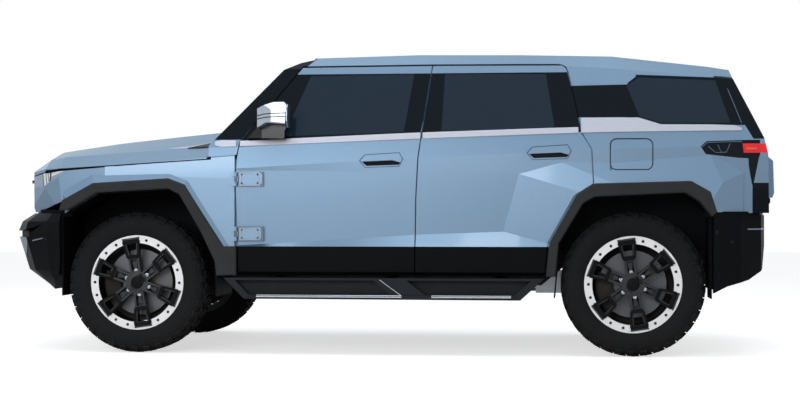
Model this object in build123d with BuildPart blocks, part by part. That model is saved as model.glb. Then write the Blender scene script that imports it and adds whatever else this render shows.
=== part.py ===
from build123d import *
import os
from math import cos, sin, radians

# Five-door off-road sport utility vehicle on a ladder frame, millimetres.
# +X forward, +Y to the vehicle's left, +Z up, origin on the ground midway between the axles.

# Running gear
wheelbase = 3000
front_axle_x = wheelbase / 2
rear_axle_x = -wheelbase / 2
wheel_plane_y = 825
tyre_radius = 428
tyre_width = 275
tyre_tread_width = 216
kingpin_y = 780
axle_z = tyre_radius
rim_bead_radius = 262
rim_flange_radius = 288
flange_width = 12
rim_width = 236
rim_wall = 14
rim_ring_radius = 240
cap_radius = 50
hub_radius = 62
spoke_count = 6
spoke_start = 98.5
fit_gap = 0.3

# Panels
panel_gap = 7
under_gap = 12
skin = 24
door_wall = 128
upper_wall = 48
glass_thickness = 5
glass_inset = 3

# Body heights
door_bottom_z = 474
cladding_top_z = 650
sill_inner_y = 790
sill_top_z = 600
floor_z = 560
floor_thickness = 25
cargo_floor_z = 720
roof_crown = 24

# Rows of the cabin's cross-sections, front to rear: x, sill half width, ledge height, lower crease height,
# shoulder crease height, belt height, gutter height, roof edge height
cabin_rows = (
    (1150, 962, 645, 1108, 1116, 1246, 1690, 1760),
    (870, 964, 655, 1110, 1122, 1256, 1728, 1798),
    (420, 964, 680, 1106, 1148, 1273, 1738, 1808),
    (-205, 964, 720, 1098, 1180, 1298, 1748, 1822),
    (-830, 964, 742, 1090, 1208, 1315, 1750, 1816),
    (-1380, 960, 742, 1095, 1232, 1332, 1722, 1802),
    (-1950, 944, 742, 1100, 1242, 1338, 1668, 1735),
    (-2360, 909, 742, 1100, 1250, 1340, 1620, 1668),
)
ledge_in = 18
crease_in = 8
shoulder_in = 6
belt_in = 34
gutter_y = 795
roof_edge_y = 690

# Rows of the nose's cross-sections: x, fender half width, gap height, crease half width, crease height,
# dome half width, dome height
nose_rows = (
    (860, 956, 1200, 815, 1268, 560, 1376),
    (1300, 956, 1167, 812, 1243, 545, 1334),
    (1700, 948, 1141, 805, 1219, 530, 1293),
    (2000, 905, 1126, 775, 1199, 510, 1252),
    (2100, 880, 1116, 740, 1184, 490, 1238),
    (2330, 700, 1062, 600, 1064, 450, 1066),
)
nose_plan = ((700, 960), (1750, 958), (1960, 925), (2105, 862), (2205, 760), (2300, 480), (2334, 0))
nose_under = ((2420, 1060), (2334, 1060), (2230, 954), (2196, 850), (2196, 380), (2420, 380))

# Side outlines, x and z
windscreen_line = ((1058, 1262), (617, 1730), (520, 1777), (439, 1797))
tail_line = ((-2079, 1716), (-2094, 1656), (-2267, 1298), (-2290, 1200), (-2296, 850))
front_edge = ((870, door_bottom_z), (889, 1013), (882, 1198), (867, 1283))
pillar_b = ((-203, door_bottom_z), (-209, 930), (-223, 1186), (-242, 1330), (-288, 1679), (-299, 1749))
pillar_c = (
    (-1080, 1745), (-1103, 1730), (-1115, 1703), (-1137, 1611), (-1179, 1421), (-1200, 1325), (-1257, 1231),
    (-1268, 1025), (-1155, 953), (-1000, 675), (-980, door_bottom_z),
)
front_door_top = ((500, 1744),)
front_door_outline = front_edge + front_door_top + pillar_b[::-1]
rear_door_outline = pillar_b + pillar_c
front_door_inner = (
    (835, 632), (850, 1010), (836, 1290), (508, 1708), (-268, 1712), (-205, 1330), (-172, 930), (-166, 632),
)
rear_door_inner = (
    (-268, 632), (-268, 930), (-276, 1186), (-295, 1330), (-338, 1712), (-1082, 1708), (-1135, 1500),
    (-1180, 1320), (-1205, 1215), (-1205, 1060), (-1110, 960), (-985, 745), (-970, 632),
)
front_window = ((600, 1318), (450, 1692), (-188, 1698), (-134, 1338))
rear_window = ((-359, 1346), (-374, 1698), (-983, 1694), (-1040, 1352))
door_top_strip = ((505, 1735), (505, 1756), (-1070, 1756), (-1070, 1735))
quarter_window = ((-1464, 1615), (-1535, 1668), (-1990, 1648), (-2075, 1386), (-1669, 1386), (-1538, 1428))
roof_line = ((600, 1752), (-300, 1756), (-1077, 1752), (-1750, 1706), (-2150, 1655))
bonnet_gap = ((2400, 1046), (2334, 1058), (2000, 1126), (1710, 1141), (1066, 1181))
bonnet_rear = ((1066, 1181), (1046, 1290), (1046, 1420))
front_well = (
    (1976, 330), (1976, 840), (1930, 868), (1828, 925), (1742, 977), (1297, 1000), (1229, 965), (1091, 730),
    (1010, 560), (1010, 330),
)
rear_well = (
    (-1030, 330), (-1062, 672), (-1206, 910), (-1274, 949), (-1804, 973), (-1890, 919), (-1958, 830), (-1962, 330),
)
front_flare = (
    (1976, 868), (1959, 930), (1765, 1035), (1297, 1063), (1197, 1025), (1092, 860), (955, 650), (878, 650),
    (878, door_bottom_z), (1000, door_bottom_z), (1010, 560), (1091, 730), (1229, 965), (1297, 1000),
    (1742, 977), (1828, 925), (1930, 868),
)
rear_flare = (
    (-987, door_bottom_z), (-1007, 675), (-1162, 953), (-1274, 1027), (-1837, 1041), (-1950, 977),
    (-1988, 857), (-1958, 830), (-1890, 919), (-1804, 973), (-1274, 949), (-1206, 910), (-1062, 672),
    (-1044, door_bottom_z),
)
flare_y = 990
well_inner_front_y = 466
well_inner_rear_y = 660
liner_thickness = 8
liner_outer_y = 925

# Raised bands round the arches: outlines, how far they stand out, and planes of their facets
haunch_y = 973
rear_haunch_outline = (
    (-826, 1084), (-1079, 1152), (-1950, 1194), (-2171, 1099), (-2184, 857), (-1988, 857), (-1950, 977),
    (-1837, 1041), (-1274, 1027), (-1162, 953), (-1007, 675), (-956, 683), (-733, 742),
)
rear_facets = (
    ((-826, 956, 1084), (-1079, 956, 1152), (-1268, haunch_y, 1021)),
    ((-826, 956, 1084), (-733, 947, 742), (-1155, haunch_y, 953)),
    ((-1079, 956, 1152), (-1950, 937, 1194), (-1550, haunch_y, 1030)),
    ((-1950, 937, 1194), (-2171, 917, 1099), (-2004, haunch_y, 1023)),
    ((-2171, 917, 1099), (-2004, haunch_y, 1023), (-2184, 911, 929)),
)
front_arch_line = (
    (1976, 868), (1959, 930), (1765, 1035), (1297, 1063), (1197, 1025), (1092, 860), (955, 650),
    (955, door_bottom_z), (1976, door_bottom_z),
)
haunch_base_y = 945
haunch_spread = 51
haunch_angle = 61
nose_corner_facet = ((2101, 868, 1016), (1962, 950, 930), (2185, 775, 900))
nose_lower_line = ((1960, 300), (1960, 930), (2167, 857), (2420, 852), (2420, 300))


def side_prism(points, y_low, y_high, grow=0):
    """Outline in x and z, swept across the vehicle."""
    with BuildPart() as piece:
        with BuildSketch(Plane.XZ.offset(-y_high)):
            with BuildLine():
                Polyline(*points, close=True)
            make_face()
            if grow:
                offset(amount=grow, kind=Kind.INTERSECTION, mode=Mode.REPLACE)
        extrude(amount=y_high - y_low)
    return piece.part


def plan_prism(points, z_low, z_high, grow=0):
    """Outline in x and y, swept upwards."""
    with BuildPart() as piece:
        with BuildSketch(Plane.XY.offset(z_low)):
            with BuildLine():
                Polyline(*points, close=True)
            make_face()
            if grow:
                offset(amount=grow, kind=Kind.INTERSECTION, mode=Mode.REPLACE)
        extrude(amount=z_high - z_low)
    return piece.part


def cross_prism(points, x_low, x_high, grow=0):
    """Outline in y and z, swept along the vehicle."""
    with BuildPart() as piece:
        with BuildSketch(Plane.YZ.offset(x_low)):
            with BuildLine():
                Polyline(*points, close=True)
            make_face()
            if grow:
                offset(amount=grow, kind=Kind.INTERSECTION, mode=Mode.REPLACE)
        extrude(amount=x_high - x_low)
    return piece.part


def mirrored_plan(points):
    """Half plan outline completed by its mirror image."""
    return points + tuple((x, -y) for x, y in points[::-1] if y > 0)


def block(x_low, x_high, y_low, y_high, z_low, z_high):
    """Plain block between two corners."""
    return side_prism(((x_low, z_low), (x_high, z_low), (x_high, z_high), (x_low, z_high)), y_low, y_high)


def rod(axis_plane, radius, length):
    """Round bar from the plane's origin along its normal."""
    with BuildPart() as piece:
        with BuildSketch(axis_plane):
            Circle(radius)
        extrude(amount=length)
    return piece.part


def cut(whole, *tools):
    """The first solid less the others."""
    with BuildPart() as piece:
        add(whole)
        for tool in tools:
            add(tool, mode=Mode.SUBTRACT)
    return piece.part


def common(*tools):
    """What all the solids share."""
    with BuildPart() as piece:
        add(tools[0])
        for tool in tools[1:]:
            add(tool, mode=Mode.INTERSECT)
    return piece.part


def joined(*tools):
    """All the solids as one part."""
    with BuildPart() as piece:
        for tool in tools:
            add(tool)
    return piece.part


def trimmed(piece, *facets):
    """The piece less what lies outboard of each plane, given by three points."""
    for first, second, third in facets:
        normal = (Vector(second) - Vector(first)).cross(Vector(third) - Vector(first))
        outward = normal if normal.Y > 0 else normal * -1
        with BuildPart() as kept:
            add(piece)
            split(bisect_by=Plane(origin=first, z_dir=outward), keep=Keep.BOTTOM)
        piece = kept.part
    return piece


def both_sides(piece):
    """A piece of the left side with its mirror image."""
    return joined(piece, mirror(piece, about=Plane.XZ))


def cabin_hull(lower, upper, base_z):
    """Outer form of the cabin, moved inwards below the belt, above it, and from the ends."""
    with BuildPart() as form:
        for x, sill_y, ledge_z, low_z, shoulder_z, belt_z, gutter_z, roof_z in cabin_rows:
            with BuildSketch(Plane.YZ.offset(x)):
                with BuildLine():
                    half = (
                        (sill_y - 34 - lower, base_z),
                        (sill_y - lower, base_z + 24),
                        (sill_y - lower, cladding_top_z),
                        (sill_y - ledge_in - lower, ledge_z + 2),
                        (sill_y - crease_in - lower, low_z),
                        (sill_y - shoulder_in - lower, shoulder_z),
                        (sill_y - belt_in - lower, belt_z),
                        (gutter_y - upper, gutter_z - upper * 0.4),
                        (roof_edge_y - upper, roof_z - upper),
                        (roof_edge_y * 0.45, roof_z + roof_crown * 0.75 - upper),
                    )
                    other = tuple((-y, z) for y, z in half[::-1])
                    Polyline(*half, *other, close=True)
                make_face()
        loft(ruled=True)
    ends = [(x - upper * 0.73, z - upper * 0.68) for x, z in windscreen_line]
    rear = [(x + upper * 1.2, z - upper * 0.3) for x, z in tail_line]
    outline = [(1060 - upper, 300), ends[0], *ends[1:], (ends[-1][0], 2000), (rear[0][0], 2000), *rear]
    outline.append((rear[-1][0], 300))
    return common(form.part, side_prism(outline, -1100, 1100))


def nose_hull(wall):
    """Outer form of the bonnet and front wings, moved inwards by a wall."""
    with BuildPart() as form:
        for x, fender_y, gap_z, crease_y, crease_z, dome_y, dome_z in nose_rows:
            with BuildSketch(Plane.YZ.offset(x)):
                with BuildLine():
                    half = (
                        (fender_y + 8 - wall, door_bottom_z),
                        (fender_y + 8 - wall, 900),
                        (fender_y - wall, gap_z - wall * 0.5),
                        (crease_y - wall * 0.7, crease_z - wall * 0.9),
                        (dome_y - wall * 0.4, dome_z - wall),
                    )
                    other = tuple((-y, z) for y, z in half[::-1])
                    Polyline(*half, *other, close=True)
                make_face()
        loft(ruled=True)
    plan = nose_plan + tuple((x, -y) for x, y in nose_plan[-2::-1])
    shaped = common(form.part, plan_prism(plan, 400, 1500, grow=-wall if wall else 0))
    return cut(shaped, side_prism(tuple((x - wall, z) for x, z in nose_under), -1100, 1100))


cabin_outer = cabin_hull(0, 0, door_bottom_z)
cabin_under = cabin_hull(skin, 20, door_bottom_z)
cabin_pocket = cabin_hull(skin + under_gap, 20 + 7, door_bottom_z)
cabin_inner = cabin_hull(door_wall, upper_wall, sill_top_z)
glass_outer = cabin_hull(glass_inset, glass_inset, door_bottom_z)
glass_inner = cabin_hull(glass_inset + glass_thickness, glass_inset + glass_thickness, door_bottom_z)
nose_outer = nose_hull(0)
nose_inner = nose_hull(34)
nose_deep = nose_hull(40)
wall_form = cut(cabin_outer, cabin_inner)
rear_haunch = cut(trimmed(side_prism(rear_haunch_outline, 925, 985), *rear_facets), cabin_under)
skin_form = joined(cut(cabin_outer, cabin_under), rear_haunch)
inner_form = cut(cabin_under, cabin_inner)
glass_form = cut(glass_outer, glass_inner)
nose_form = cut(nose_outer, nose_inner)
wells_left = (
    side_prism(front_well, well_inner_front_y, 1100),
    side_prism(rear_well, well_inner_rear_y, 1100),
)

# Zones that split the shell
roof_zone = side_prism(roof_line + ((-2150, 2000), (600, 2000)), -1100, 1100)
screen_outline = ((-742, 1300), (742, 1300), (628, 1738), (-628, 1738))
screen_zone = cross_prism(screen_outline, 480, 1110)
tail_outline = ((-742, 858), (-768, 1100), (-772, 1290), (-640, 1640), (640, 1640), (772, 1290), (768, 1100), (742, 858))
tail_zone = cross_prism(tail_outline, -2420, -2040)
rear_screen_outline = ((-690, 1330), (-600, 1590), (600, 1590), (690, 1330))
rear_screen_zone = cross_prism(rear_screen_outline, -2420, -2040)
bonnet_zone = side_prism(bonnet_gap + bonnet_rear[1:] + ((2400, 1420),), -1100, 1100)
behind_screen = side_prism(
    ((1068, 1262), (627, 1730), (500, 1820), (300, 1820), (300, 1262)), -1100, 1100
)

# Flush door handles: outline of the handle, the grip opening below it, and the rear one's offset
handle_outline = ((130, 1165), (99, 1201), (-111, 1214), (-132, 1177), (-111, 1132), (98, 1126))
grip_outline = ((118, 1161), (-70, 1169), (-120, 1154), (-107, 1141), (89, 1135))
handle_offset = {"front": (0, 0), "rear": (-1004, 43)}
groove_width = 3
groove_floor = cabin_hull(3, 3, door_bottom_z)


def handle_recess(place):
    """Groove round a handle and the opening under its grip."""
    shift_x, shift_z = handle_offset[place]
    outline = tuple((x + shift_x, z + shift_z) for x, z in handle_outline)
    grip = tuple((x + shift_x, z + shift_z) for x, z in grip_outline)
    ring = cut(side_prism(outline, 900, 1100, grow=groove_width), side_prism(outline, 900, 1100))
    return joined(cut(ring, groove_floor), cut(side_prism(grip, 900, 1100), cabin_under))


parts = {}


def keep(name, piece):
    """Register a finished piece under its node name."""
    piece.label = name
    parts[name] = piece


# Doors
# Rear door hinges: pin position, and rows of arm heights
rear_pin_x = pillar_b[0][0] - panel_gap / 2 - 45
rear_pin_y = 946
rear_pin_radius = 4
hinge_arm_rows = ((592, 628), (1022, 1058))
hinge_play = 8
hinge_cover_y = rear_pin_y + 6
hinge_eye_radius = 5.6
pin_grip = 6
running_fit = 0.1


def rear_hinge_notches():
    """Room in the door's skin for the hinge arms as the door turns."""
    notches = []
    for low, high in hinge_arm_rows:
        notches.append(block(rear_pin_x - 14, -150, 800, hinge_cover_y, low - hinge_play, high + hinge_play))
    return notches


def rear_hinge_pins():
    """Pins held by the door above and below each arm."""
    pins = []
    for low, high in hinge_arm_rows:
        base = Plane(origin=(rear_pin_x, rear_pin_y, low - hinge_play - pin_grip), z_dir=(0, 0, 1))
        pins.append(rod(base, rear_pin_radius, high - low + 2 * (hinge_play + pin_grip)))
    return pins


def rear_hinge_arms():
    """Arms from the middle pillar, bored for the pins."""
    arms = []
    for low, high in hinge_arm_rows:
        arm = block(rear_pin_x - 6, rear_pin_x + 6, 875, rear_pin_y - 3, low, high)
        foot = block(rear_pin_x - 6, -215, 870, 885, low, high)
        pin_plane = Plane(origin=(rear_pin_x, rear_pin_y, low), z_dir=(0, 0, 1))
        eye = rod(pin_plane, hinge_eye_radius, high - low)
        arms.append(cut(joined(arm, foot, eye), rod(pin_plane, rear_pin_radius + running_fit, high - low)))
    return arms


doors = {
    "front": (front_door_outline, front_door_inner, front_window),
    "rear": (rear_door_outline, rear_door_inner, rear_window),
}
for place, (outline, inner_outline, window) in doors.items():
    outer_layer = common(skin_form, side_prism(outline, 400, 1100, grow=-panel_gap / 2))
    inner_layer = common(inner_form, side_prism(inner_outline, 400, 1100))
    window_zone = side_prism(window, 400, 1100)
    left_door = cut(joined(outer_layer, inner_layer), window_zone, handle_recess(place))
    if place == "rear":
        left_door = cut(left_door, side_prism(rear_well, 400, 1100, grow=14), *rear_hinge_notches())
        left_door = joined(left_door, *rear_hinge_pins())
    left_glass = common(glass_form, window_zone, block(-3000, 3000, 300, 1100, 1250, 1900))
    keep(f"door_{place}_left", left_door)
    keep(f"door_{place}_right", mirror(left_door, about=Plane.XZ))
    keep(f"glass_{place}_left", left_glass)
    keep(f"glass_{place}_right", mirror(left_glass, about=Plane.XZ))

# Body sides: pillars, sills, cant rails and rear quarters
side_half = block(-2400, 1100, 300, 1100, 300, 1900)
under_floor = block(-2400, 1200, -sill_inner_y, sill_inner_y, 300, cargo_floor_z + floor_thickness)
firewall_zone = block(1000, 1200, -sill_inner_y, sill_inner_y, 300, 1262)
behind_wheel = block(-2400, -1958, 300, 1100, 300, 852)
side_solid = joined(common(wall_form, side_half), rear_haunch)
side_solid = cut(side_solid, roof_zone, screen_zone, under_floor, firewall_zone, behind_wheel)
wing_outside = cut(block(893, 1100, 300, 1100, 300, 1181), nose_deep)
scuttle_zone = block(940, 1100, -742, 742, 1200, 1300)
side_solid = cut(side_solid, cut(nose_outer, nose_deep), wing_outside, scuttle_zone)
side_solid = cut(side_solid, block(870, 893, 959, 1100, door_bottom_z, 655))
for outline, inner_outline, window in doors.values():
    pocket = cut(side_prism(outline, 300, 1100, grow=panel_gap / 2), cabin_pocket)
    side_solid = cut(side_solid, pocket, side_prism(inner_outline, 300, 1100, grow=panel_gap))
side_solid = cut(side_solid, cut(side_prism(door_top_strip, 300, 1100), cabin_pocket))
dip_pocket = block(rear_pin_x - 26, -198, 886, 1100, door_bottom_z - 5, 1250)
side_solid = joined(cut(side_solid, dip_pocket), *rear_hinge_arms())
side_solid = cut(side_solid, *wells_left, side_prism(quarter_window, 300, 1100))
side_solid = cut(side_solid, cross_prism(tail_outline, -2420, -2040, grow=panel_gap))

# Fuel flap in the left rear quarter
flap_low = (-1612, 1112)
flap_high = (-1370, 1288)
flap_radius = 34


def flap_prism(y_low, grow):
    """Round-cornered outline of the flap."""
    with BuildPart() as piece:
        with BuildSketch(Plane.XZ.offset(-1100)):
            centre = ((flap_low[0] + flap_high[0]) / 2, (flap_low[1] + flap_high[1]) / 2)
            with Locations(centre):
                RectangleRounded(
                    flap_high[0] - flap_low[0] + 2 * grow, flap_high[1] - flap_low[1] + 2 * grow, flap_radius + grow
                )
        extrude(amount=1100 - y_low)
    return piece.part


flap_pin_x = flap_high[0] - 8
flap_pin_y = 946.5
flap_pin_z = flap_low[1] - 14
flap_pin_top = 1190
flap_pin_radius = 4
flap_pin_plane = Plane(origin=(flap_pin_x, flap_pin_y, flap_pin_z), z_dir=(0, 0, 1))
flap_pin = rod(flap_pin_plane, flap_pin_radius, flap_pin_top - flap_pin_z)
flap_bore = rod(flap_pin_plane, flap_pin_radius + running_fit, flap_pin_top - flap_pin_z + 1)
fuel_flap = cut(common(skin_form, flap_prism(400, 0)), flap_bore)
keep("fuel_flap", fuel_flap)
flap_pocket = cut(flap_prism(860, panel_gap), cabin_hull(72, 60, door_bottom_z))
filler_y = 870
filler_neck = rod(Plane(origin=(-1490, filler_y - 20, 1200), z_dir=(0, 1, 0)), 42, 44)
# Square corner beside the pin, where the flap's edge turns
flap_swing_room = block(
    flap_pin_x, flap_high[0] + panel_gap, 935, 1000, flap_low[1] - panel_gap, flap_low[1] + flap_radius,
)
left_side = cut(side_solid, flap_pocket, flap_swing_room)
keep("body_side_left", joined(left_side, filler_neck, flap_pin))
keep("body_side_right", mirror(side_solid, about=Plane.XZ))

# Roof with header and rear rail
keep("roof", cut(common(wall_form, roof_zone), screen_zone, cross_prism(tail_outline, -2420, -2040, grow=panel_gap)))

# Fixed glass
windscreen = cut(common(glass_form, screen_zone, block(500, 1100, -900, 900, 1260, 1900)), roof_zone)
quarter_glass = common(glass_form, side_prism(quarter_window, 400, 1100))
keep("fixed_glass", joined(windscreen, both_sides(quarter_glass)))

# Tailgate with its storage bulge
bulge_outline = (
    (-2230, 1267), (-2302, 1267), (-2340, 1196), (-2368, 1172), (-2374, 975), (-2363, 946), (-2230, 946),
)
tailgate = cut(common(wall_form, tail_zone), rear_screen_zone)
tailgate = joined(tailgate, cut(side_prism(bulge_outline, -480, 480), cabin_outer))
keep("tailgate", tailgate)
keep("tailgate_glass", common(glass_form, rear_screen_zone))

# Bonnet and nose
bonnet = common(nose_form, bonnet_zone)
keep("bonnet", bonnet)
fender_zone = cut(
    block(893, 2400, 500, 1100, door_bottom_z, 1400),
    side_prism(bonnet_gap + ((893, 1193), (893, 1420), (2400, 1420)), 300, 1200, grow=panel_gap),
)
headlamp_outline = ((2400, 1130), (1930, 1135), (1955, 1103), (2090, 1028), (2115, 1016), (2400, 1000))
headlamp_zone = side_prism(headlamp_outline, 560, 1100)
grille_zone = block(1700, 2400, -560, 560, 700, 1200)
ahead_low = side_prism(nose_lower_line, 300, 1100)
above_gap = side_prism(bonnet_gap + bonnet_rear[1:] + ((2400, 1420),), -1100, 1100, grow=panel_gap)
with BuildPart() as arch_band:
    with BuildSketch(Plane.XZ.offset(-haunch_base_y)):
        with BuildLine():
            Polyline(*front_arch_line, close=True)
        make_face()
        offset(amount=haunch_spread, kind=Kind.INTERSECTION, mode=Mode.REPLACE)
    extrude(amount=-(haunch_y - haunch_base_y), taper=haunch_angle)
front_haunch = common(arch_band.part, block(900, 1962, 900, 1100, door_bottom_z, 1200))
front_haunch = cut(front_haunch, side_prism(front_arch_line, 900, 1100), nose_inner)
fender = joined(common(nose_form, fender_zone), front_haunch)
fender = trimmed(cut(fender, headlamp_zone, ahead_low, above_gap, wells_left[0]), nose_corner_facet)
hinge_x = 882
hinge_y = 968
barrel_radius = 8
knuckle_height = 28
plate_rows = ((1012, 1101), (681, 771))
lugs = []
for low, high in plate_rows:
    for foot_z in (low + 2, high - knuckle_height + fit_gap):
        height = knuckle_height - 2 - fit_gap
        barrel = rod(Plane(origin=(hinge_x, hinge_y, foot_z), z_dir=(0, 0, 1)), barrel_radius, height)
        lug = cut(block(hinge_x, 912, 940, hinge_y + 6, foot_z, foot_z + height), nose_outer)
        lugs.append(joined(barrel, lug))
fender = joined(fender, *lugs)
keep("front_fenders", both_sides(fender))
headlamp = trimmed(cut(common(nose_form, headlamp_zone), above_gap, wells_left[0], ahead_low), nose_corner_facet)
keep("headlamps", both_sides(headlamp))
cowl_zone = cut(block(893, 1039, -1100, 1100, 1150, 1420), behind_screen)
cowl = cut(common(nose_form, cowl_zone), both_sides(fender), both_sides(side_solid))
scuttle = cut(common(wall_form, scuttle_zone), nose_outer)
scuttle = joined(scuttle, cut(common(wall_form, scuttle_zone, nose_deep), side_solid))
cowl_web = cut(common(block(1014, 1036, -700, 700, 1270, 1400), nose_outer), both_sides(side_solid), windscreen)
keep("cowl", joined(cowl, scuttle, cowl_web))
grille_band = common(nose_form, block(2100, 2400, -560, 560, 850, 1200))
lip_outline = ((2180, 1078), (2334, 1049), (2356, 1044), (2350, 1034), (2180, 1064))
nose_lip = common(side_prism(lip_outline, -560, 560), plan_prism(mirrored_plan(nose_plan), 900, 1200, grow=12))
grille = cut(joined(grille_band, nose_lip), above_gap, both_sides(fender), both_sides(headlamp))
# Openings between the grille bars: z low, z high
grille_back = nose_hull(18)
for low, high in ((900, 925), (940, 965), (980, 1005)):
    grille = cut(grille, cut(block(2100, 2400, -500, 500, low, high), grille_back))
keep("grille_panel", grille)

# Bumpers
# Rows of the front bumper's plan outlines: height, then x and y of each half's corners
front_bumper_rows = (
    (380, (1978, 905), (2010, 885), (2060, 800), (2112, 640), (2140, 430), (2150, 0)),
    (500, (1978, 955), (2050, 935), (2165, 860), (2262, 680), (2300, 460), (2312, 0)),
    (733, (1978, 978), (2065, 965), (2222, 890), (2328, 705), (2362, 485), (2374, 0)),
    (800, (1978, 976), (2062, 962), (2205, 885), (2300, 700), (2345, 470), (2358, 0)),
    (850, (1978, 940), (2040, 925), (2150, 850), (2225, 680), (2262, 430), (2275, 0)),
)
front_bumper_inner = ((1900, 885), (2030, 875), (2110, 800), (2180, 640), (2225, 0))
front_bumper_floor_z = 490
front_bumper_top_z = 825
slot_outline = ((2420, 703), (2195, 703), (2180, 728), (2098, 782), (2190, 756), (2262, 742), (2420, 742))
slot_depth = 36
skid_outline = ((-790, 703), (790, 703), (770, 660), (690, 560), (-690, 560), (-770, 660))
skid_thickness = 18
wheel_side_cut = ((1978, 560), (1990, 470), (2040, 400), (2120, 300), (1900, 300), (1900, 560))


def bumper_loft(inset):
    """Front bumper's outer form, moved inwards."""
    with BuildPart() as form:
        for height, *corners in front_bumper_rows:
            with BuildSketch(Plane.XY.offset(height)):
                with BuildLine():
                    half = tuple((x - inset, y - inset if y else 0) for x, y in corners)
                    Polyline(*mirrored_plan(half), close=True)
                make_face()
        loft(ruled=True)
    return form.part


front_bumper_form = bumper_loft(0)
front_slot = cut(side_prism(slot_outline, -1100, 1100), bumper_loft(slot_depth))
front_hollow = plan_prism(mirrored_plan(front_bumper_inner), front_bumper_floor_z, front_bumper_top_z)
skid_plate = common(front_bumper_form, cross_prism(skid_outline, 2150, 2420))
skid_plate = cut(skid_plate, bumper_loft(skid_thickness))
keep("skid_plate", skid_plate)
front_bumper = cut(
    front_bumper_form, front_hollow, front_slot, skid_plate, side_prism(wheel_side_cut, -1100, 1100),
)
rear_bumper_side = (
    (-1968, 848), (-2300, 840), (-2316, 724), (-2270, 518), (-2176, 459), (-2046, 420), (-1968, 380),
)
rear_bumper_plan = ((-1968, 978), (-2130, 965), (-2255, 850), (-2300, 600), (-2324, 0))
rear_bumper_inner = ((-1900, 900), (-2090, 900), (-2180, 800), (-2210, 600), (-2220, 0))
rear_bumper = common(side_prism(rear_bumper_side, -1100, 1100), plan_prism(mirrored_plan(rear_bumper_plan), 300, 900))
rear_bumper = cut(rear_bumper, plan_prism(mirrored_plan(rear_bumper_inner), 300, 900))

# Wheel arches
flare_bevel = 7


def flare_band(points, y_low):
    """Arch trim with its outer edges bevelled."""
    with BuildPart() as piece:
        add(side_prism(points, y_low, flare_y))
        chamfer(piece.faces().sort_by(Axis.Y)[-1].edges(), flare_bevel)
    return piece.part


front_arch = cut(flare_band(front_flare, 925), nose_outer, cabin_outer, front_haunch)
rear_arch = cut(flare_band(rear_flare, 900), cabin_outer, rear_haunch)
keep("arch_flares", joined(both_sides(front_arch), both_sides(rear_arch)))

# Arch liners: outline of each well, inner wall position, and the height where the inner wall starts
liners = []
for outline, inner_y, wall_z in ((front_well, well_inner_front_y, 665), (rear_well, well_inner_rear_y, 625)):
    inside = side_prism(outline, inner_y + liner_thickness, 1100, grow=-liner_thickness)
    open_below = block(-2400, 2400, inner_y, inner_y + liner_thickness, 300, wall_z)
    under = block(-2400, 2400, inner_y, 1100, 300, 345)
    shell = cut(side_prism(outline, inner_y, liner_outer_y), inside, open_below, under)
    liners.append(shell)
liner_left = joined(*liners)

# Ladder frame
rail_outline = (
    (2216, 470), (2216, 590), (1850, 590), (1750, 650), (1250, 650), (1050, 520), (-900, 520), (-1100, 690),
    (-1850, 690), (-2000, 620), (-2215, 620), (-2215, 500), (-2050, 500), (-1900, 570), (-1150, 570),
    (-950, 400), (1100, 400), (1300, 530), (1700, 530), (1800, 470),
)
rail_inner_y = 375
rail_outer_y = 455
frame_rails = both_sides(side_prism(rail_outline, rail_inner_y, rail_outer_y))
keep("frame_rails", frame_rails)
keep("front_bumper", cut(front_bumper, frame_rails))
receiver_opening = block(-2400, -2205, -36, 36, 524, 596)
keep("rear_bumper", cut(rear_bumper, frame_rails, rear_arch, mirror(rear_arch, about=Plane.XZ), receiver_opening))
# Cross-member rows: x, z low, z high
cross_rows = (
    (2140, 500, 585), (1700, 540, 620), (900, 410, 510), (200, 410, 510), (-600, 410, 510), (-1150, 590, 670),
    (-2170, 510, 610),
)
members = [block(x - 40, x + 40, -rail_inner_y, rail_inner_y, low, high) for x, low, high in cross_rows]
keep("cross_members", joined(*members))

# Tow receiver: square tube from the last cross-member, cross-bored for its pin
receiver_half = 33
receiver_inner_half = 25.4
receiver_z = 560
receiver_x = (-2336, -2210)
receiver_pin_x = -2296
receiver_pin_radius = 8.2
tube = block(*receiver_x, -receiver_half, receiver_half, receiver_z - receiver_half, receiver_z + receiver_half)
tube_inside = block(
    receiver_x[0], receiver_x[1] - 12, -receiver_inner_half, receiver_inner_half,
    receiver_z - receiver_inner_half, receiver_z + receiver_inner_half,
)
pin_plane = Plane(origin=(receiver_pin_x, -receiver_half, receiver_z), z_dir=(0, 1, 0))
keep("tow_receiver", cut(tube, tube_inside, rod(pin_plane, receiver_pin_radius, 2 * receiver_half)))

# Floor with firewall, toe board and raised luggage floor
floor_outline = (
    (1035, 1200), (1060, 1200), (1060, 760), (960, floor_z), (-940, floor_z), (-1040, cargo_floor_z),
    (-2165, cargo_floor_z), (-2165, cargo_floor_z + floor_thickness), (-1052, cargo_floor_z + floor_thickness),
    (-952, floor_z + floor_thickness), (948, floor_z + floor_thickness), (1035, 765),
)
floor = cut(side_prism(floor_outline, -sill_inner_y, sill_inner_y), *wells_left)
floor = cut(floor, *[mirror(well, about=Plane.XZ) for well in wells_left])
keep("floor_pan", floor)

# Powertrain, tank and exhaust
gearbox_outline = (
    (1330, 628), (1330, 780), (1100, 745), (965, 552), (245, 552), (245, 430), (838, 430), (848, 516), (1250, 520),
)
keep("arch_liners", both_sides(liner_left))
engine = joined(
    block(1330, 1890, -230, 230, 628, 1090),
    side_prism(gearbox_outline, -150, 150),
    block(1560, 1640, -rail_inner_y, rail_inner_y, 628, 645),
)
keep("powertrain", engine)
keep("fuel_tank", block(-560, 160, 60, 365, 380, 540))
muffler = block(-1300, -900, -340, -140, 325, 470)
exhaust_pipe = rod(Plane(origin=(1000, -300, 360), z_dir=(-1, 0, 0)), 30, 1950)
hanger = block(-1165, -1135, -260, -220, 470, 590)
keep("exhaust", joined(muffler, exhaust_pipe, hanger))

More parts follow.
